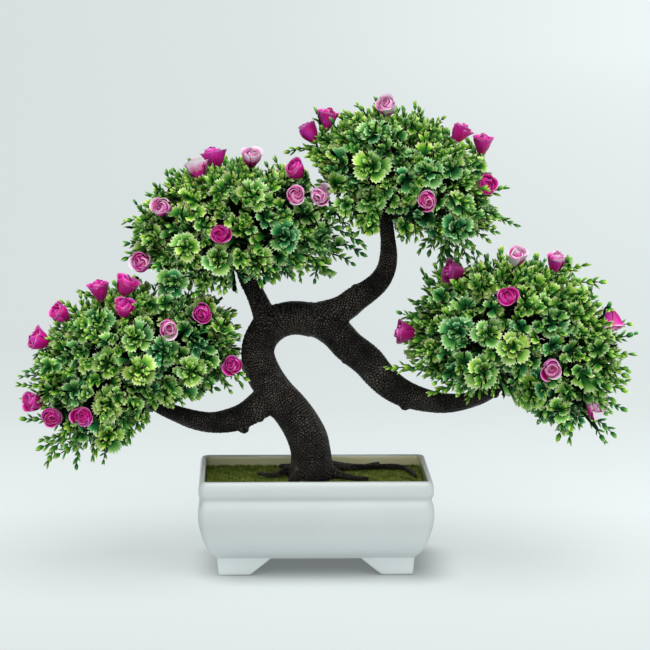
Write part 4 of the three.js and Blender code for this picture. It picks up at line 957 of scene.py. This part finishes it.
def make_trunk():
    """Limbs, roots and burrs run together into one skin, with the bark's relief cut into it."""
    form = Form()
    limbs = [points for _, points in LIMBS] + ROOTS
    for points in limbs:
        line = smooth_line(points, 6)
        sides = 28 if max(line[:, 3]) > 3 else 14
        tube(form, line[:, :3], line[:, 3], sides, (0, 0, 0, 0))
    foot = np.array(LIMBS[0][1][0][:3], float)
    peg = np.array([[foot[0], foot[1], z] for z in (PEG_BOTTOM, 30.0, 40.0)])
    tube(form, peg, PEG_RADIUS, 24, (0, 0, 0, 0))
    obj = form.make("trunk_skin", 180)
    for x, y, z, radius in BURRS:
        add_ball(obj, np.array([x, y, z]), radius)
    for head in HEADS:
        add_ball(obj, head_centre(head), LIMB_END_RADIUS)
    remesh = obj.modifiers.new("remesh", "REMESH")
    remesh.mode = "VOXEL"
    remesh.voxel_size = SKIN_VOXEL * MM
    smooth = obj.modifiers.new("smooth", "SMOOTH")
    smooth.factor, smooth.iterations = 0.6, 6
    mesh = bpy.data.meshes.new_from_object(obj.evaluated_get(bpy.context.evaluated_depsgraph_get()))
    bpy.data.objects.remove(obj)
    points = np.zeros(len(mesh.vertices) * 3)
    mesh.vertices.foreach_get("co", points)
    points = (points.reshape(-1, 3) - POT_MIDDLE) / MM
    normals = np.zeros(len(mesh.vertices) * 3)
    mesh.vertices.foreach_get("normal", normals)
    normals = normals.reshape(-1, 3)

    frames = [limb_frames(p) for p in limbs]
    line = np.concatenate([f[0] for f in frames])
    ahead = np.concatenate([f[1] for f in frames])
    side = np.concatenate([f[2] for f in frames])
    run = np.concatenate([f[3] for f in frames])
    owner = np.concatenate([np.full(len(f[0]), k) for k, f in enumerate(frames)])
    tree = KDTree(len(line))
    for k, at in enumerate(line):
        tree.insert(at[:3], k)
    tree.balance()
    nearest = np.zeros(len(points), int)
    for k, point in enumerate(points):
        found = tree.find_n(point, 6)
        nearest[k] = min(found, key=lambda hit: hit[2] - line[hit[1], 3])[1]
    stem = np.nonzero(owner == 0)[0]
    from_foot = np.hypot(points[:, 0] - foot[0], points[:, 1] - foot[1])
    height = points[:, 2]
    flare = np.nonzero((height > FLARE_LOW) & (height < FLARE_HIGH) & (from_foot < FLARE_RADIUS))[0]
    apart = np.linalg.norm(points[flare, None] - line[None, stem, :3], axis=2)
    nearest[flare] = stem[np.argmin(apart, axis=1)]
    away = points - line[nearest, :3]
    second = np.cross(ahead[nearest], side[nearest])
    angle = np.arctan2(np.sum(away * second, axis=1), np.sum(away * side[nearest], axis=1))
    radius = line[nearest, 3]
    columns, fine = (scale_columns(owner, line, width)[nearest] for width in (SCALE_WIDTH, FINE_WIDTH))
    along = run[nearest] + np.sum(away * ahead[nearest], axis=1)
    relief = bark_relief(along, angle, columns, owner[nearest] * 1.3)
    points = points + normals * (relief * np.clip(radius / 2.5, 0.35, 1) - 0.15)[:, None]
    mesh.vertices.foreach_set("co", (points * MM + POT_MIDDLE).astype(np.float32).ravel())
    marks = np.stack([along, np.cos(angle), np.sin(angle), fine], axis=1)
    layer = mesh.attributes.new(name="mark", type="FLOAT_COLOR", domain="POINT")
    layer.data.foreach_set("color", marks.astype(np.float32).ravel())
    mesh.shade_smooth()
    mesh.update()
    return add_object("bark", mesh)


def add_ball(obj, centre, radius):
    """Join a round ball to a mesh that will be run together."""
    body = bmesh.new()
    body.from_mesh(obj.data)
    place = Matrix.Translation(Vector(centre * MM + POT_MIDDLE))
    bmesh.ops.create_icosphere(body, subdivisions=3, radius=radius * MM, matrix=place)
    body.to_mesh(obj.data)
    body.free()


# The pot
# The wall's outside and inside: height, and how far it stands in from the pot's full size
OUTER = [(7, 9.6), (7.2, 8.7), (7.7, 7.9), (8.4, 7.1), (9.3, 6.2), (10.4, 5.2), (11.8, 4.25), (13.4, 3.4),
         (15.2, 2.6), (17, 1.95), (19, 1.35), (21.5, 0.75), (24, 0.25), (27, 0), (29.5, 0.1), (31.3, 0.35),
         (32.4, 0.7), (33.1, 1.0), (33.7, 1.15), (34.3, 1.05), (34.9, 0.8), (35.5, 0.5), (36.3, 0.36),
         (38, 0.3), (39.6, 0.38), (40.6, 0.62), (41.3, 0.95), (41.8, 1.3), (42, 1.7)]
INNER = [(42, 2.3), (41.75, 2.7), (41.3, 2.9), (40, 2.9), (34, 2.9), (24, 2.9), (15, 5.5), (11.5, 7.2),
         (9.8, 9.0)]


def rounded_ring(half_length, half_depth, corner, z, steps=7):
    ring = []
    for quarter, (sx, sy) in enumerate(((1, 1), (-1, 1), (-1, -1), (1, -1))):
        for i in range(steps + 1):
            angle = math.pi / 2 * (quarter + i / steps)
            ring.append((sx * (half_length - corner) + corner * math.cos(angle),
                         sy * (half_depth - corner) + corner * math.sin(angle), z))
    return np.array(ring)


def make_pot():
    form = Form()
    rings = []
    for z, inset in OUTER + INNER:
        corner = max(POT_CORNER - inset / 3, 0.8)
        rings.append(rounded_ring(POT_LENGTH / 2 - inset, POT_DEPTH / 2 - inset, corner, z))
    # Marks the inside wall, which the material tints olive-beige: painted light thrown on it by the moss.
    inside = np.repeat([0.0] * (len(OUTER) + 2) + [1.0] * (len(INNER) - 2), len(rings[0]))
    loft(form, rings, np.stack([np.append(inside, (0, 1))] + [np.zeros(len(inside) + 2)] * 3, axis=1))
    for sx in (-1, 1):
        for sy in (-1, 1):
            foot(form, sx, sy)
    return form.make("glazed_pot", 40)


def foot(form, sx, sy):
    """A corner foot with softened edges: upright outside, slanting on its two inner sides."""
    outer = np.array([POT_LENGTH / 2 - FOOT_INSET, POT_DEPTH / 2 - FOOT_INSET])
    top = TUB_UNDERSIDE + 0.8
    rings = []
    for z, shrink in ((0.0, 0.7), (0.12, 0.35), (0.45, 0.08), (0.9, 0.0), (top, 0.0)):
        share = z / top
        length = FOOT_BOTTOM[0] + (FOOT_TOP[0] - FOOT_BOTTOM[0]) * share
        depth = FOOT_BOTTOM[1] + (FOOT_TOP[1] - FOOT_BOTTOM[1]) * share
        flare = 0.6 * share
        low, high = outer - (length, depth), outer + flare
        middle, half = (low + high) / 2, (high - low) / 2 - shrink
        ring = rounded_ring(half[0], half[1], 0.9, z, 4)
        ring[:, :2] += middle
        ring[:, 0] *= sx
        ring[:, 1] *= sy
        rings.append(ring[::-1] if sx * sy < 0 else ring)
    loft(form, rings)


# The moss
MOSS_INSET = 3.4
MOSS_HALF = (POT_LENGTH / 2 - MOSS_INSET, POT_DEPTH / 2 - MOSS_INSET)
FIBRES, FIBRE_RADIUS, FIBRE_CORNER = 25000, 0.16, 2.094


def moss_height(x, y):
    return MOSS_TOP + 0.3 * (np.sin(x * 0.31 + 1) * np.cos(y * 0.42) + 0.5 * np.sin(x * 0.83 + y * 0.6))


def make_moss():
    """A low uneven mat with a pile of fine upright fibres."""
    form = Form()
    xs = np.linspace(-MOSS_HALF[0], MOSS_HALF[0], 61)
    ys = np.linspace(-MOSS_HALF[1], MOSS_HALF[1], 37)
    gx, gy = np.meshgrid(xs, ys, indexing="ij")
    top = np.stack([gx, gy, moss_height(gx, gy)], axis=-1).reshape(-1, 3)
    under = top.copy()
    under[:, 2] = FILLER_TOP + 0.3
    n = len(ys)
    faces = []
    for i in range(len(xs) - 1):
        for j in range(n - 1):
            a, b, c, d = i * n + j, (i + 1) * n + j, (i + 1) * n + j + 1, i * n + j + 1
            faces += [(a, b, c), (a, c, d)]
            faces += [tuple(v + len(top) for v in face) for face in ((a, c, b), (a, d, c))]
    rim = [i * n for i in range(len(xs))] + [(len(xs) - 1) * n + j for j in range(1, n)]
    rim += [i * n + n - 1 for i in range(len(xs) - 2, -1, -1)] + list(range(n - 2, 0, -1))
    for a, b in zip(rim, rim[1:] + rim[:1]):
        faces += [(a, a + len(top), b + len(top)), (a, b + len(top), b)]
    form.add(np.concatenate([top, under]), faces, (0, 0.3, 0, 0))

    rng = np.random.default_rng(7)
    count = FIBRES
    x = rng.uniform(-MOSS_HALF[0], MOSS_HALF[0], count)
    y = rng.uniform(-MOSS_HALF[1], MOSS_HALF[1], count)
    clump = 0.5 + 0.5 * np.sin(x * 1.3 + 2 * np.sin(y * 0.9)) * np.cos(y * 1.1 + np.sin(x * 0.7))
    length = rng.uniform(0.5, 1.15, count) * (0.75 + 0.45 * clump)
    lean = rng.normal(0, 0.32, (count, 2))
    spin = rng.uniform(0, 2 * math.pi, count)
    root = np.stack([x, y, moss_height(x, y) - 0.15], axis=1)
    tip = root + np.stack([lean[:, 0] * length, lean[:, 1] * length, length + 0.15], axis=1)
    tip[:, 0] = np.clip(tip[:, 0], -MOSS_HALF[0] - 0.2, MOSS_HALF[0] + 0.2)
    tip[:, 1] = np.clip(tip[:, 1], -MOSS_HALF[1] - 0.2, MOSS_HALF[1] + 0.2)
    corners = []
    for k in range(3):
        turn = spin + k * FIBRE_CORNER
        corners.append(root + FIBRE_RADIUS * np.stack([np.cos(turn), np.sin(turn), np.zeros(count)], axis=1))
    points = np.stack(corners + [tip], axis=1).reshape(-1, 3)
    base = np.arange(count)[:, None] * 4
    faces = np.concatenate([base + np.array(f) for f in ((0, 1, 3), (1, 2, 3), (2, 0, 3), (0, 2, 1))])
    tone = rng.uniform(0, 1, count)
    marks = np.zeros((count, 4, 4))
    marks[:, 3, 0] = 1
    marks[:, :, 1] = tone[:, None]
    marks[:, :, 2] = clump[:, None]
    form.add(points, faces, marks.reshape(-1, 4))
    return form.make("moss", 60)


# Materials
class Nodes:
    """A material's node tree, with short ways to add and link nodes."""

    def __init__(self, name):
        self.material = bpy.data.materials.new(name)
        self.material.use_nodes = True
        self.tree = self.material.node_tree
        self.shader = self.tree.nodes["Principled BSDF"]

    def add(self, kind, **values):
        node = self.tree.nodes.new(kind)
        for key, value in values.items():
            setattr(node, key, value)
        return node

    def link(self, source, target):
        self.tree.links.new(source, target)

    def mark(self):
        """The four marks of the point: sockets red, green and blue, and alpha."""
        attribute = self.add("ShaderNodeAttribute", attribute_name="mark")
        split = self.add("ShaderNodeSeparateColor")
        self.link(attribute.outputs["Color"], split.inputs[0])
        return split.outputs[0], split.outputs[1], split.outputs[2], attribute.outputs["Alpha"]

    def noise(self, scale, detail=2.0, rough=0.5, stretch=None):
        place = self.add("ShaderNodeTexCoord").outputs["Object"]
        if stretch:
            mapping = self.add("ShaderNodeMapping")
            mapping.inputs["Scale"].default_value = stretch
            self.link(place, mapping.inputs["Vector"])
            place = mapping.outputs[0]
        node = self.add("ShaderNodeTexNoise")
        node.inputs["Scale"].default_value = scale
        node.inputs["Detail"].default_value = detail
        node.inputs["Roughness"].default_value = rough
        self.link(place, node.inputs["Vector"])
        return node.outputs["Fac"]

    def math(self, operation, first, second=0.0, clamp=False):
        node = self.add("ShaderNodeMath", operation=operation, use_clamp=clamp)
        for socket, value in zip(node.inputs, (first, second)):
            if isinstance(value, (int, float)):
                socket.default_value = value
            else:
                self.link(value, socket)
        return node.outputs[0]

    def plus(self, first, second):
        return self.math("ADD", first, second)

    def minus(self, first, second, clamp=False):
        return self.math("SUBTRACT", first, second, clamp)

    def times(self, first, second, clamp=False):
        return self.math("MULTIPLY", first, second, clamp)

    def over(self, first, second):
        return self.math("DIVIDE", first, second)

    def ramp(self, value, stops):
        node = self.add("ShaderNodeValToRGB")
        points = node.color_ramp.elements
        while len(points) < len(stops):
            points.new(0.5)
        for point, (at, colour) in zip(points, stops):
            point.position = at
            point.color = (*colour, 1)
        self.link(value, node.inputs[0])
        return node.outputs[0]

    def mix(self, share, first, second):
        node = self.add("ShaderNodeMix", data_type="RGBA")
        for socket, value in ((node.inputs[0], share), (node.inputs[6], first), (node.inputs[7], second)):
            if isinstance(value, (int, float)):
                socket.default_value = value
            elif isinstance(value, tuple):
                socket.default_value = (*value, 1)
            else:
                self.link(value, socket)
        return node.outputs[2]

    def bump(self, height, strength, distance):
        node = self.add("ShaderNodeBump")
        node.inputs["Strength"].default_value = strength
        node.inputs["Distance"].default_value = distance * MM
        self.link(height, node.inputs["Height"])
        self.link(node.outputs[0], self.shader.inputs["Normal"])

    def finish(self, colour, **inputs):
        self.link(colour, self.shader.inputs["Base Color"])
        for name, value in inputs.items():
            self.shader.inputs[name.replace("_", " ")].default_value = value
        return self.material


def leaf_material():
    n = Nodes("leaf_green")
    along, tone, across, shade = n.mark()
    mottle = n.noise(420, 3, 0.6)
    fine = n.noise(2600, 2, 0.5)
    shift = n.plus(along, n.times(n.minus(mottle, 0.5), 0.25))
    # Painted shade and highlight: both ramps run from a near-black middle, painted shade where the leaflets
    # meet, through the leaf's own greens to pale rims that are partly the leaf's own edge colour and partly
    # painted highlight.
    cool = n.ramp(shift, [(0.0, (0.001, 0.02, 0.007)), (0.35, (0.002, 0.055, 0.019)),
                          (0.66, (0.012, 0.165, 0.055)), (0.84, (0.12, 0.46, 0.16)),
                          (0.92, (0.48, 0.86, 0.4)), (0.98, (0.85, 1.0, 0.7))])
    warm = n.ramp(shift, [(0.0, (0.002, 0.035, 0.006)), (0.3, (0.007, 0.105, 0.012)),
                          (0.55, (0.075, 0.34, 0.022)), (0.76, (0.46, 0.76, 0.08)),
                          (0.89, (0.86, 1.0, 0.32)), (0.98, (0.98, 1.0, 0.68))])
    colour = n.mix(tone, cool, warm)
    veins = n.math("ABSOLUTE", n.math("COSINE", n.times(across, 7 * math.pi)))
    vein = n.times(n.math("LESS_THAN", veins, 0.3), n.times(along, 0.22))
    colour = n.mix(vein, colour, (0.18, 0.46, 0.1))
    dark = n.minus(1.0, shade, True)
    colour = n.mix(dark, colour, (0.0005, 0.004, 0.001))
    height = n.plus(n.times(veins, 0.6), fine)
    n.bump(height, 0.5, 0.3)
    return n.finish(colour, Roughness=0.32, Specular_IOR_Level=0.1, Specular_Tint=(0.4, 1.0, 0.3, 1))


def bud_material():
    n = Nodes("bud_magenta")
    along, white_or_shade, across, whorl = n.mark()
    cloud = n.noise(260, 3, 0.55)
    streak = n.noise(900, 2, 0.6, (1, 1, 0.25))
    level = n.plus(along, n.times(n.minus(streak, 0.5), 0.2))
    # Painted shade: the base of every petal is darker, and inner whorls darker still, as deep inside the
    # bud.
    level = n.minus(level, n.times(whorl, 0.07))
    deep = n.ramp(level, [(0.0, (0.2, 0.003, 0.07)), (0.45, (0.5, 0.004, 0.2)), (0.8, (0.7, 0.008, 0.34)),
                          (0.93, (0.8, 0.06, 0.5)), (1.0, (1.0, 0.6, 0.92))])
    patchy = n.times(n.minus(cloud, 0.42), 2.5, True)
    deep = n.mix(patchy, deep, (0.55, 0.004, 0.13))
    violet = n.times(n.minus(n.noise(190, 3, 0.6), 0.5), 5.0, True)
    deep = n.mix(n.times(violet, 0.55), deep, (0.5, 0.03, 0.5))
    reach = n.plus(n.times(along, 0.9), n.times(cloud, 0.5))
    white = n.times(n.minus(n.plus(reach, white_or_shade), 1.1), 3.0, True)
    colour = n.mix(n.times(white, n.math("GREATER_THAN", white_or_shade, 0.02)), deep, (0.95, 0.83, 0.93))
    # Painted shade: a bud given a value below 0 in BUD_PETALS is darkened all over, as a bud in shadow.
    colour = n.mix(n.minus(0.0, white_or_shade, True), colour, (0.1, 0.001, 0.035))
    # Painted shade: inner whorls are mixed further towards dark magenta.
    inner = n.times(whorl, 0.15)
    colour = n.mix(inner, colour, (0.42, 0.002, 0.15))
    n.bump(n.plus(streak, cloud), 0.25, 0.3)
    return n.finish(colour, Roughness=0.42, Specular_IOR_Level=0.4)


def bark_material():
    n = Nodes("bark_brown")
    attribute = n.add("ShaderNodeAttribute", attribute_name="mark")
    split = n.add("ShaderNodeSeparateXYZ")
    n.link(attribute.outputs["Vector"], split.inputs[0])
    angle = n.math("ARCTAN2", split.outputs[2], split.outputs[1])
    bend = n.plus(n.times(angle, 3.0), n.over(split.outputs[0], 9.0))
    wave = n.math("SINE", bend)
    row = n.plus(n.over(split.outputs[0], FINE_ROW), n.times(wave, 0.35))
    row = n.plus(row, n.times(n.noise(330, 2, 0.6), 2.6))
    column = n.times(n.over(angle, 2 * math.pi), attribute.outputs["Alpha"])
    column = n.plus(column, n.times(n.noise(270, 2, 0.6), 2.6))
    shifted = n.plus(column, n.times(n.math("MODULO", n.math("FLOOR", row), 2.0), 0.5))
    side = n.math("ABSOLUTE", n.math("SINE", n.times(shifted, math.pi)))
    middle = n.minus(n.math("FRACT", row), 0.45)
    hump = n.minus(1.0, n.times(n.times(middle, middle), 3.2))
    scale = n.times(n.math("POWER", side, 0.6), hump)
    dust = n.noise(240, 4, 0.65)
    grain = n.noise(1800, 4, 0.65)
    patch = n.times(n.minus(n.noise(75, 2, 0.5), 0.2), 2.2, True)
    # Painted light and shade: each scale's middle is lighter and the gaps between scales near-black, more so
    # in patches; the same pattern drives the bump.
    scale_shading_and_bump = n.times(scale, n.plus(n.times(patch, 0.65), 0.35))
    lift = n.plus(scale_shading_and_bump, n.times(dust, 0.5))
    lift = n.plus(lift, n.times(n.minus(grain, 0.5), 1.1))
    colour = n.ramp(lift, [(0.4, (0.0006, 0.0005, 0.0005)), (0.56, (0.0045, 0.0037, 0.0034)),
                           (0.7, (0.0145, 0.012, 0.0108)), (0.86, (0.036, 0.03, 0.026)),
                           (1.0, (0.1, 0.085, 0.07))])
    n.bump(n.plus(scale_shading_and_bump, grain), 1.0, 1.0)
    return n.finish(colour, Roughness=0.34, Specular_IOR_Level=0.24)


def pot_material():
    n = Nodes("pot_white")
    cloud = n.noise(18, 2, 0.5)
    fine = n.noise(900, 2, 0.5)
    colour = n.ramp(cloud, [(0.3, (0.5, 0.545, 0.54)), (0.7, (0.545, 0.59, 0.585))])
    place = n.add("ShaderNodeSeparateXYZ")
    n.link(n.add("ShaderNodeTexCoord").outputs["Object"], place.inputs[0])
    # Painted light: the lower part of the pot is mixed towards a brighter white, standing in for light
    # thrown up from the floor.
    low = n.minus(1.0, n.times(place.outputs[2], 45.0), True)
    colour = n.mix(low, colour, (0.7, 0.76, 0.755))
    # Painted light: the inside wall is tinted olive-beige, standing in for light thrown on it by the moss.
    colour = n.mix(n.mark()[0], colour, (0.66, 0.64, 0.39))
    n.bump(fine, 0.05, 0.08)
    return n.finish(colour, Roughness=0.24, Specular_IOR_Level=0.5, Coat_Weight=0.3, Coat_Roughness=0.12)


def moss_material():
    n = Nodes("moss_green")
    along, tone, clump, _ = n.mark()
    patch = n.noise(160, 3, 0.6)
    low = n.ramp(tone, [(0.0, (0.015, 0.035, 0.004)), (1.0, (0.07, 0.11, 0.01))])
    high = n.ramp(tone, [(0.0, (0.1, 0.18, 0.015)), (0.6, (0.3, 0.4, 0.045)), (1.0, (0.8, 0.82, 0.24))])
    colour = n.mix(along, low, high)
    colour = n.mix(n.times(patch, 0.45), colour, (0.02, 0.045, 0.006))
    n.bump(n.noise(3000, 2, 0.6), 0.5, 0.2)
    return n.finish(colour, Roughness=0.85, Specular_IOR_Level=0.2)


def filler_material():
    n = Nodes("filler_grey")
    grain = n.noise(500, 4, 0.6)
    colour = n.ramp(grain, [(0.3, (0.16, 0.15, 0.13)), (0.7, (0.32, 0.3, 0.27))])
    n.bump(grain, 0.6, 0.5)
    return n.finish(colour, Roughness=0.9)


def floor_material():
    """Pale paper with painted light: brightest near the pot, a little darker far away and towards the left,
    and glowing a little of itself.
    """
    n = Nodes("floor_pale")
    place = n.add("ShaderNodeSeparateXYZ")
    n.link(n.add("ShaderNodeTexCoord").outputs["Object"], place.inputs[0])
    x, y = place.outputs[0], place.outputs[1]
    sideways = n.over(x, n.plus(n.math("MAXIMUM", y, -0.5), 1.13))
    sideways = n.times(sideways, 8.0)
    far = n.times(y, 0.25, True)
    near = n.minus(1.0, n.times(y, 1.8, True), True)
    # Painted light: the paper's colour is lighter in front of and near the pot, and lighter to the right
    # than to the left.
    level = n.plus(n.times(sideways, 0.03), n.times(near, 0.13))
    leftwards = n.plus(n.times(sideways, 0.045), 0.02)
    level = n.plus(level, n.times(far, leftwards))
    colour = n.ramp(n.plus(level, 0.5), [(0.3, (0.15, 0.168, 0.168)), (0.7, (0.33, 0.35, 0.352))])
    # A glow of its own keeps the crown's shadow light; it fades softly towards the pot's middle
    beside, before = (n.math("MAXIMUM", n.minus(n.math("ABSOLUTE", place), half), 0.0)
                      for place, half in ((x, 0.035), (y, 0.018)))
    squares = n.plus(n.times(beside, beside), n.times(before, before))
    away = n.math("POWER", squares, 0.5)
    fade = n.add("ShaderNodeMapRange", interpolation_type="SMOOTHSTEP")
    fade.inputs["From Max"].default_value = 0.025
    n.link(away, fade.inputs["Value"])
    # Painted light: a broad band of extra glow behind the pot.
    off_band = n.math("ABSOLUTE", n.minus(y, 0.11))
    band = n.minus(1.0, n.times(off_band, 4.0), True)
    glow = n.plus(n.times(band, 0.11), 0.3)
    glow = n.plus(n.times(fade.outputs["Result"], glow), 0.13)
    # Painted light: more glow far away to the right.
    glow = n.plus(glow, n.times(far, n.times(sideways, 0.09, True)))
    n.link(glow, n.shader.inputs["Emission Strength"])
    n.shader.inputs["Emission Color"].default_value = (0.93, 1.0, 1.0, 1)
    return n.finish(colour, Roughness=0.85, Specular_IOR_Level=0.1)


# Stage and light, in metres
FLOOR_HALF = 14.0


def make_stage():
    data = bpy.data.meshes.new("floor")
    corners = [(x * FLOOR_HALF, y * FLOOR_HALF, 0) for x, y in ((-1, -1), (1, -1), (1, 1), (-1, 1))]
    data.from_pydata(corners, [], [(0, 1, 2, 3)])
    floor = add_object("floor", data)
    floor.location = (0, 0, -0.0002)
    floor.data.materials.append(floor_material())


def add_sun(name, towards, spread, strength):
    """A broad soft light that shines from the given direction."""
    data = bpy.data.lights.new(name, "SUN")
    data.angle = math.radians(spread)
    data.energy = strength * math.pi
    light = add_object(name, data)
    light.rotation_euler = Vector(towards).to_track_quat("Z", "Y").to_euler()


def light_scene():
    world = bpy.data.worlds.new("studio")
    world.use_nodes = True
    backdrop = world.node_tree.nodes["Background"]
    backdrop.inputs["Color"].default_value = (0.94, 0.99, 1, 1)
    backdrop.inputs["Strength"].default_value = 0.38
    bpy.context.scene.world = world
    add_sun("top", (0.2, -0.4, 1), 70, 0.88)
    add_sun("front", (-0.2, -1, 0.4), 50, 0.22)
    view = bpy.context.scene.view_settings
    view.view_transform = "Standard"
    view.look = "None"


# Assembly
def main():
    aim_camera()
    light_scene()
    make_stage()

    foliage = Foliage()
    rng = np.random.default_rng(20)
    foliage.put_front(rng)
    foliage.fill(rng, "wild", 0.98, 0.78, (5.0, 7.4), 1.0, 1100)
    foliage.fill(rng, "loose", 0.97, 0.52, (4.2, 6.4), 0.9, 1300)
    foliage.fill(rng, "wild", 0.8, 0.75, (5.0, 7.0), 0.3, 600)
    foliage.fill(rng, "simple", 0.62, 0.62, (5.0, 7.0), 0.08, 400)
    foliage.put_sprigs(rng)
    foliage.fill_sprigs(rng)
    foliage.edge_sprigs(rng)
    foliage.put_bud_stems(rng)
    foliage.put_branches(rng)
    leaf = leaf_material()
    for (head, index), form in foliage.forms.items():
        node = f"spray_{head}_{index + 1}"
        place_piece(form.make("leaves_" + node, 60), leaf, "leaf_green", node)

    petals = bud_material()
    rng = np.random.default_rng(44)
    for bud in BUDS:
        place_piece(rosebud(bud, rng), petals, "bud_magenta", bud["name"])

    place_piece(make_trunk(), bark_material(), "bark_brown", "trunk")
    place_piece(make_pot(), pot_material(), "pot_white", "pot")
    place_piece(make_moss(), moss_material(), "moss_green", "moss_mat")
    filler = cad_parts["filler"]
    filler.data.materials.clear()
    filler.data.materials.append(filler_material())


main()
